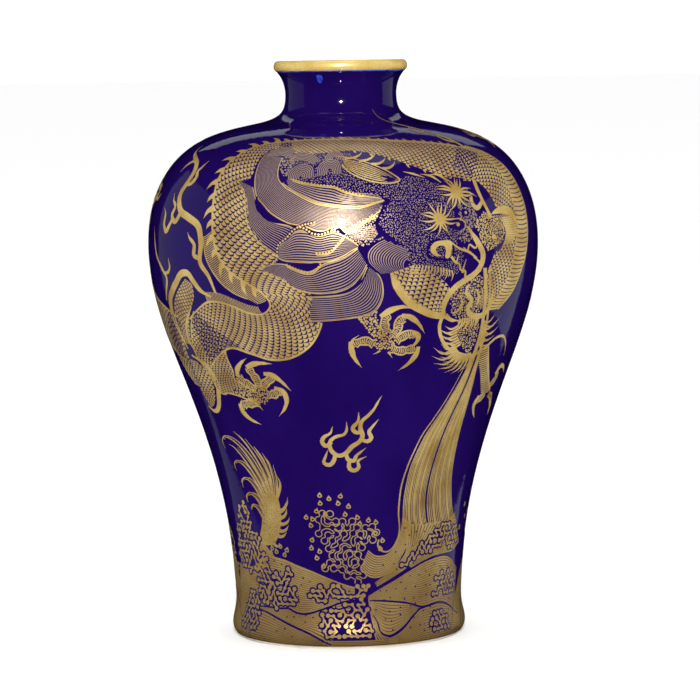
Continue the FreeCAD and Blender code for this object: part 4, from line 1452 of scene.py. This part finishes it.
for k, ring in enumerate(FOAM + back_foam):
    flecks += foamed(ring, 60 + k, 1.0, FILM_LIFT + 0.08)
for k, spread in enumerate((
        [(-44, 50), (-30, 49), (-18, 43), (-6, 37), (2, 31), (-10, 18), (-20, 8), (-40, 8)],
        [(12, 30), (24, 38), (40, 47), (60, 47), (68, 36), (66, 10), (40, 6), (20, 10)],
        [(14, 53), (24, 58), (28, 76), (44, 74), (60, 74), (56, 56), (40, 52), (24, 44)])):
    flecks.append(pebbled(spread, 6.4, (0.9, 1.3), 80 + k, None, OUTLINE_LIFT))
touched("sea_partings", flecks)
crests.stroke(CREST_LEFT, (0.7, 1.1, 0.7))
crests.stroke(level(-180, 180, 0.4, 25), (0.7, 0.7), 1.5)
gilded("sea_lines", [drawn(crests)])
gilded("sea_foam", [part for k, ring in enumerate(FOAM + back_foam)
                    for part in foamed(ring, 60 + k, 0.0, FILM_LIFT + 0.15)])

# ---- Spray -----------------------------------------------------------------------------------
# Where the swells meet they throw up spray: one thin gold line that loops about a branching
# growth, with loose ringed drops stamped above it.

SPRAY_PITCH = 4.9


def sprayed(outline, seed):
    """Thin lines of spray, each a round of loops about one branching growth."""
    joints, meets, wide = branched(outline, SPRAY_PITCH, seed, 0.05)
    lobe, neck = 0.41 * SPRAY_PITCH, 0.15 * SPRAY_PITCH
    shoulder = math.asin(neck / lobe)

    def heading(i, j):
        return math.atan2(joints[j][1] - joints[i][1], joints[j][0] - joints[i][0])

    for i, near in enumerate(meets):
        near.sort(key=lambda j: heading(i, j))
    unwalked = {(i, j) for i, near in enumerate(meets) for j in near}
    spray = Drawing()
    while unwalked:
        first = step = min(unwalked)
        ring = []
        while step != first or not ring:
            unwalked.discard(step)
            a, b = step
            c = meets[b][(meets[b].index(a) - 1) % len(meets[b])]
            back, on = heading(b, a), heading(b, c)
            sweep = (back - on) % (2 * math.pi) or 2 * math.pi
            arc = sweep - 2 * shoulder
            if arc > 0.6:
                turns = back - shoulder - arc * np.linspace(0, 1, max(2, round(arc / 0.6)))
                reach = lobe
            else:
                turns, reach = np.array([back - sweep / 2]), 0.9 * neck / math.sin(sweep / 2)
            ring += (joints[b] + reach * np.column_stack([np.cos(turns), np.sin(turns)])).tolist()
            ring.append(((joints[b] + joints[c]) / 2
                         + neck * np.array([-math.sin(on), math.cos(on)])).tolist())
            step = (b, c)
        ring = smooth_line(ring + ring[:1], 0.45) / (wide, 1)
        spray.stroke(ring, (0.6, 0.6), 0.6)
    return drawn(spray)


SPRAY = [(-13, 79), (-9, 87), (-6, 85), (-3, 81), (2, 78), (6, 75), (11, 74), (14, 69),
         (12, 63), (8, 59), (7, 52), (8, 45), (9, 40), (3, 39), (-2, 40), (-6, 44), (-10, 46),
         (-13, 51), (-10, 57), (-14, 63), (-15, 70)]
DROPS = [(-12, 93), (-8, 91), (-3, 92.5), (-12, 88), (-4, 88), (0.5, 86), (-14, 83),
         (-10, 81), (-1, 81), (-19, 79), (-16, 78), (4.5, 79), (9.5, 77), (5.5, 75),
         (13, 75.5), (-17, 74), (13, 69), (16.5, 64), (15.5, 59), (-17, 65), (-17.5, 60),
         (-13.5, 58), (-15, 54), (-12, 49), (-30.5, 58), (-34, 60), (-36.5, 56.5), (-32, 55),
         (-39, 58.5), (-40, 55.5)]
drop_ring = pattern(
    "drop",
    [(0.5 * math.cos(a), 0.42 * math.sin(a) + (0.34 if k == 2 else 0.0))
     for k, a in enumerate(np.arange(8) * math.pi / 4)]
    + [(0.22 * math.cos(a), 0.18 * math.sin(a)) for a in np.arange(8) * math.pi / 4],
    [(k, (k + 1) % 8, 8 + (k + 1) % 8, 8 + k) for k in range(8)])
spray = [sprayed(SPRAY, 91)]
back_drops = [(66 + 27 * k + 9 + 7 * math.sin(5 * j + k), 66 + 4.2 * j + 5 * math.cos(3 * j + k))
              for k in range(8) for j in range(5)]
spray.append(stamped(drop_ring, DROPS, [3.1] * len(DROPS), spread=0.9, seed=95))
spray.append(stamped(drop_ring, back_drops, [3.1] * len(back_drops), spread=0.9, seed=96))
gilded("sea_spray", spray)

# ---- Back of the dragon ----------------------------------------------------------------------
# Round the back the body drops from the left thigh in one long bend, with a hind leg, and goes
# down into the waves. It is gilded as the front is, with scales, spines and talons.

BEND = [(-64, 190, 15), (-78, 199, 15), (-94, 210, 14.5), (-112, 218, 14), (-130, 214, 13.5),
        (-144, 200, 13), (-150, 181, 12.5), (-146, 162, 12), (-134, 149, 11), (-119, 139, 10),
        (-106, 126, 9), (-98, 109, 8.5), (-94, 90, 8), (-90, 70, 7.5), (-84, 50, 7)]


def flanked(line):
    """The two edges of a winding body from its centre line and its half widths."""
    middle = np.array(line, float)
    metric = np.column_stack([across(middle[:, 1]), np.ones(len(middle))])
    way = np.gradient(middle[:, :2], axis=0) * metric
    way /= np.linalg.norm(way, axis=1)[:, None]
    side = np.column_stack([-way[:, 1], way[:, 0]]) * middle[:, 2:] / metric
    return (middle[:, :2] + side).tolist(), (middle[:, :2] - side).tolist()


BEND_BELLY, BEND_BACK = flanked(BEND)
rear = [scales(BEND_BACK, BEND_BELLY, True, 0.95),
        scales([(-64, 206), (-70, 204), (-74, 190), (-72, 172), (-66, 160)],
               [(-60, 200), (-62, 192), (-63, 182), (-62, 170), (-60, 158)], True, 0.85),
        scales([(-143, 190), (-152, 196), (-163, 190), (-168, 176), (-166, 162)],
               [(-138, 172), (-146, 170), (-153, 166), (-157, 160), (-158, 152)], True, 0.85),
        pebbled([(-166, 163), (-158, 152), (-162, 146), (-170, 141), (-176, 143), (-175, 150),
                 (-170, 156)], 1.5, (1.05, 1.5), 121)]
shanks = Drawing(OUTLINE_LIFT)
shanks.stroke(BEND_BACK, (1.2, 1.6, 1.2))
shanks.stroke(BEND_BELLY, (1.2, 1.6, 1.2))
shanks.stroke([(-143, 192), (-152, 198), (-163, 192), (-168.5, 177), (-166.5, 162)],
              (1.4, 3.6, 4.4, 3.0, 1.2))
fin(shanks, BEND_BACK[1:], 26, 7.0, 0.7, -1, 4.0)
toe(shanks, [(-172, 144), (-176, 146), (-180, 146), (-182, 143)],
    [(-181, 146), (-184, 141), (-184, 135), (-181, 130)])
toe(shanks, [(-173, 149), (-177, 152), (-181, 154), (-185, 152)],
    [(-184, 155), (-188, 152), (-190, 146), (-188, 140)])
toe(shanks, [(-171, 153), (-174, 158), (-178, 161), (-182, 162)],
    [(-181, 163), (-186, 163), (-190, 159), (-192, 153)])
toe(shanks, [(-166, 143), (-166, 138), (-169, 134), (-172, 133)],
    [(-170, 134), (-174, 132), (-176, 127), (-174, 121)])
toe(shanks, [(-162, 147), (-158, 144), (-155, 141), (-154, 137)],
    [(-155, 139), (-152, 135), (-152, 129), (-155, 124)])
rear.append(drawn(shanks))
gilded("dragon_rear", rear)
scaled("rear_scale_edges")
chine = Drawing(PARTING_LIFT)
chine.stroke([(-143, 189), (-151, 195), (-162, 190), (-167, 177)], (0.4, 1.0, 0.4))
touched("rear_partings", [drawn(chine)])

# ---- Clouds at the back ----------------------------------------------------------------------
# Curling clouds of fire that fill the glaze behind the dragon, each one long stroke with hooked
# tongues.


def cloud(art, place, size, sign):
    """A curling cloud: a swelling stroke with four hooked tongues, to the left or the right."""
    wide = float(across(place[1]))

    def at(points):
        return [(place[0] + sign * x * size / wide, place[1] + y * size) for x, y in points]

    art.stroke(at([(-26, 8), (-19, 3), (-12, 5), (-6, 1), (0, -3), (7, -2), (12, 3), (18, 2),
                   (24, 6), (30, 14)]), (0.3, 2.4, 3.2, 3.4, 3.6, 3.4, 3.0, 2.6, 0.3))
    for hook in ([(-12, 4), (-16, 9), (-12, 14), (-7, 11), (-4, 17), (-1, 24)],
                 [(-2, -2), (-3, 6), (2, 10), (6, 7), (8, 13), (12, 19)],
                 [(8, -2), (10, -8), (5, -11), (1, -8), (-4, -12), (-9, -17)],
                 [(17, 2), (22, -3), (20, -8), (15, -8), (13, -14)]):
        art.stroke(at(hook), (2.6, 3.6, 3.0, 2.2, 0.3))


clouds = Drawing()
for place, size, sign in (((118, 285), 0.95, 1), ((166, 312), 0.8, -1), ((205, 262), 0.95, 1),
                          ((98, 205), 0.9, -1), ((140, 160), 0.8, 1), ((152, 232), 1.0, -1),
                          ((-128, 292), 0.95, 1), ((-84, 272), 0.8, -1), ((112, 118), 0.75, -1),
                          ((-124, 95), 0.8, 1), ((-152, 108), 0.7, -1), ((80, 320), 0.7, 1),
                          ((-100, 322), 0.7, 1)):
    cloud(clouds, place, size, sign)
gilded("back_clouds", [drawn(clouds)])

# ---- Lip ring --------------------------------------------------------------------------------
# The rolled rim, gilded all over and burnished after firing, down to a clean line on the glaze
# outside and a brush's breadth inside. The cobalt is thin and bright where it runs off the rim.


def burnished_finish():
    """Bright gold burnished after firing, with faint turning lines and warmer patches."""
    finish, tree, shader = new_finish("burnished gold")
    cloud = speckle(tree, 0.012, 4.0)
    lines = speckle(tree, 0.0012, 2.0, (0.15, 0.15, 3.0))
    colour = blended(tree, cloud, (0.70, 0.47, 0.12, 1), (0.80, 0.59, 0.20, 1))
    tree.links.new(colour, shader.inputs["Base Color"])
    shader.inputs["Metallic"].default_value = 0.45
    tree.links.new(ranged(tree, lines, 0.20, 0.34), shader.inputs["Roughness"])
    bumped(tree, shader, lines, 0.00002)
    return finish


def bright_cobalt_finish():
    """Brighter, paler cobalt: the thin glaze at the rim, and a small spot just below it."""
    finish, tree, shader = new_finish("bright cobalt")
    tree.links.new(blended(tree, speckle(tree, 0.004, 3.0), (0.012, 0.010, 0.24, 1),
                           (0.022, 0.060, 0.42, 1)), shader.inputs["Base Color"])
    shader.inputs["Roughness"].default_value = 0.08
    return finish


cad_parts["gilt_lip"].data.materials.clear()
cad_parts["gilt_lip"].data.materials.append(burnished_finish())
rim = Drawing(FILM_LIFT)
top = WALL_LENGTH / MM
rim.stroke(level(-180, 180, top - 0.5, 25), (1.0, 1.0), 1.5)
# A small pale spot of the brighter cobalt, just below the rim a little left of the front.
rim.fill([(-22.6, top - 8), (-19.8, top - 9), (-17.2, top - 6.6), (-18, top - 4),
          (-22.6, top - 3.8)])
gilded("rim_pooling", [drawn(rim)], finish=bright_cobalt_finish())


# ---- Porcelain under the glaze ---------------------------------------------------------------
# The thrown sections, the slip between them, and the clear coats inside and under the base.
# Only the foot ring and the inside of the vase show.


def porcelain_finish(name, light, dark, rough, speck):
    """Fired white clay: matt where bare, glossy under a clear coat, with iron specks."""
    finish, tree, shader = new_finish(name)
    cloud = speckle(tree, 0.018, 4.0)
    specks = speckle(tree, 0.0016, 1.0, low=0.74, high=0.80)
    colour = blended(tree, specks, blended(tree, cloud, dark, light), speck)
    tree.links.new(colour, shader.inputs["Base Color"])
    tree.links.new(ranged(tree, cloud, rough, rough * 1.35), shader.inputs["Roughness"])
    bumped(tree, shader, speckle(tree, 0.0012, 4.0), 0.00004 if rough > 0.3 else 0.00001)
    return finish


bare_clay = porcelain_finish("bare porcelain", (0.72, 0.69, 0.62, 1), (0.62, 0.58, 0.50, 1),
                             0.62, (0.30, 0.20, 0.12, 1))
clear_coat = porcelain_finish("clear glazed porcelain", (0.76, 0.78, 0.76, 1),
                              (0.70, 0.72, 0.70, 1), 0.06, (0.35, 0.28, 0.22, 1))
for node, finish in {"lower_body": bare_clay, "waist_luting": bare_clay, "upper_body": bare_clay,
                     "neck_luting": bare_clay, "neck_and_lip": bare_clay,
                     "liner_glaze": clear_coat, "base_glaze": clear_coat}.items():
    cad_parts[node].data.materials.clear()
    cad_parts[node].data.materials.append(finish)

# ---- Floor, light and camera -----------------------------------------------------------------
# A pale sweep of paper under the vase, soft panels of light beside, behind and above it, a small
# lamp over the camera, and a long lens at the height of the lip.

CAMERA_DISTANCE = 2.009
CAMERA_HEIGHT = 0.350
CAMERA_LENS = 169.5
SENSOR_WIDTH = 36.0
CAMERA_PITCH = math.radians(5.03)
CAMERA_TURN = math.radians(0.09)
CAMERA_ROLL = math.radians(0.9)
FLOOR_REACH = 60.0
AIM_HEIGHT = 0.2
DAYLIGHT = 1.2
COOL = (0.93, 0.95, 1.0)
COOL_GREEN = (0.94, 1.0, 0.97)


def paper_finish():
    """Matt white paper with a faint tooth."""
    finish, tree, shader = new_finish("pale paper")
    tree.links.new(blended(tree, speckle(tree, 0.004, 3.0), (0.90, 0.90, 0.90, 1),
                           (0.92, 0.92, 0.92, 1)), shader.inputs["Base Color"])
    shader.inputs["Roughness"].default_value = 0.9
    return finish


def panel(name, place, width, height, watts, tint=(1, 1, 1)):
    """A soft panel of light that faces the middle of the vase."""
    data = bpy.data.lights.new(name, "AREA")
    data.shape = "RECTANGLE"
    data.size = width
    data.size_y = height
    data.energy = watts
    data.color = tint
    lamp = bpy.data.objects.new(name, data)
    lamp.location = place
    way = Vector((0, 0, AIM_HEIGHT)) - Vector(place)
    lamp.rotation_euler = way.to_track_quat("-Z", "Y").to_euler()
    bpy.context.scene.collection.objects.link(lamp)


floor_mesh = bpy.data.meshes.new("floor")
floor_mesh.from_pydata([(-FLOOR_REACH, -FLOOR_REACH, 0), (FLOOR_REACH, -FLOOR_REACH, 0),
                        (FLOOR_REACH, FLOOR_REACH, 0), (-FLOOR_REACH, FLOOR_REACH, 0)],
                       [], [(0, 1, 2, 3)])
floor_mesh.materials.append(paper_finish())
floor = bpy.data.objects.new("floor", floor_mesh)
floor.visible_glossy = False
bpy.context.scene.collection.objects.link(floor)

world = bpy.data.worlds.new("studio")
world.use_nodes = True
world.node_tree.nodes["Background"].inputs["Color"].default_value = (1, 1, 1, 1)
world.node_tree.nodes["Background"].inputs["Strength"].default_value = DAYLIGHT
world.cycles_visibility.glossy = False
bpy.context.scene.world = world

panel("left_panel", (-1.75, 0.62, 0.30), width=1.9, height=1.9, watts=2.2, tint=COOL)
panel("right_panel", (1.72, 0.80, 0.22), width=1.3, height=1.5, watts=2.6, tint=COOL)
panel("back_panel", (0.0, 2.6, 1.7), width=2.2, height=0.5, watts=1.8, tint=COOL_GREEN)
panel("top_panel", (0.0, 0.3, 2.2), width=1.6, height=1.2, watts=5)
panel("front_lamp", (0.0, -1.95, 0.87), width=0.07, height=0.05, watts=36)

aim = (Matrix.Rotation(-CAMERA_TURN, 3, "Z")
       @ Vector((0, math.cos(CAMERA_PITCH), -math.sin(CAMERA_PITCH))))
eye = bpy.data.cameras.new("camera")
eye.lens = CAMERA_LENS
eye.sensor_width = SENSOR_WIDTH
camera = bpy.data.objects.new("camera", eye)
camera.location = (0, -CAMERA_DISTANCE, CAMERA_HEIGHT)
camera.rotation_euler = (aim.to_track_quat("-Z", "Y").to_matrix()
                         @ Matrix.Rotation(-CAMERA_ROLL, 3, "Z")).to_euler()
bpy.context.scene.collection.objects.link(camera)
bpy.context.scene.camera = camera
bpy.context.scene.view_settings.view_transform = "Standard"

for spare in patterns + [o for o in bpy.data.objects if o.type == "CURVE"]:
    bpy.data.objects.remove(spare)
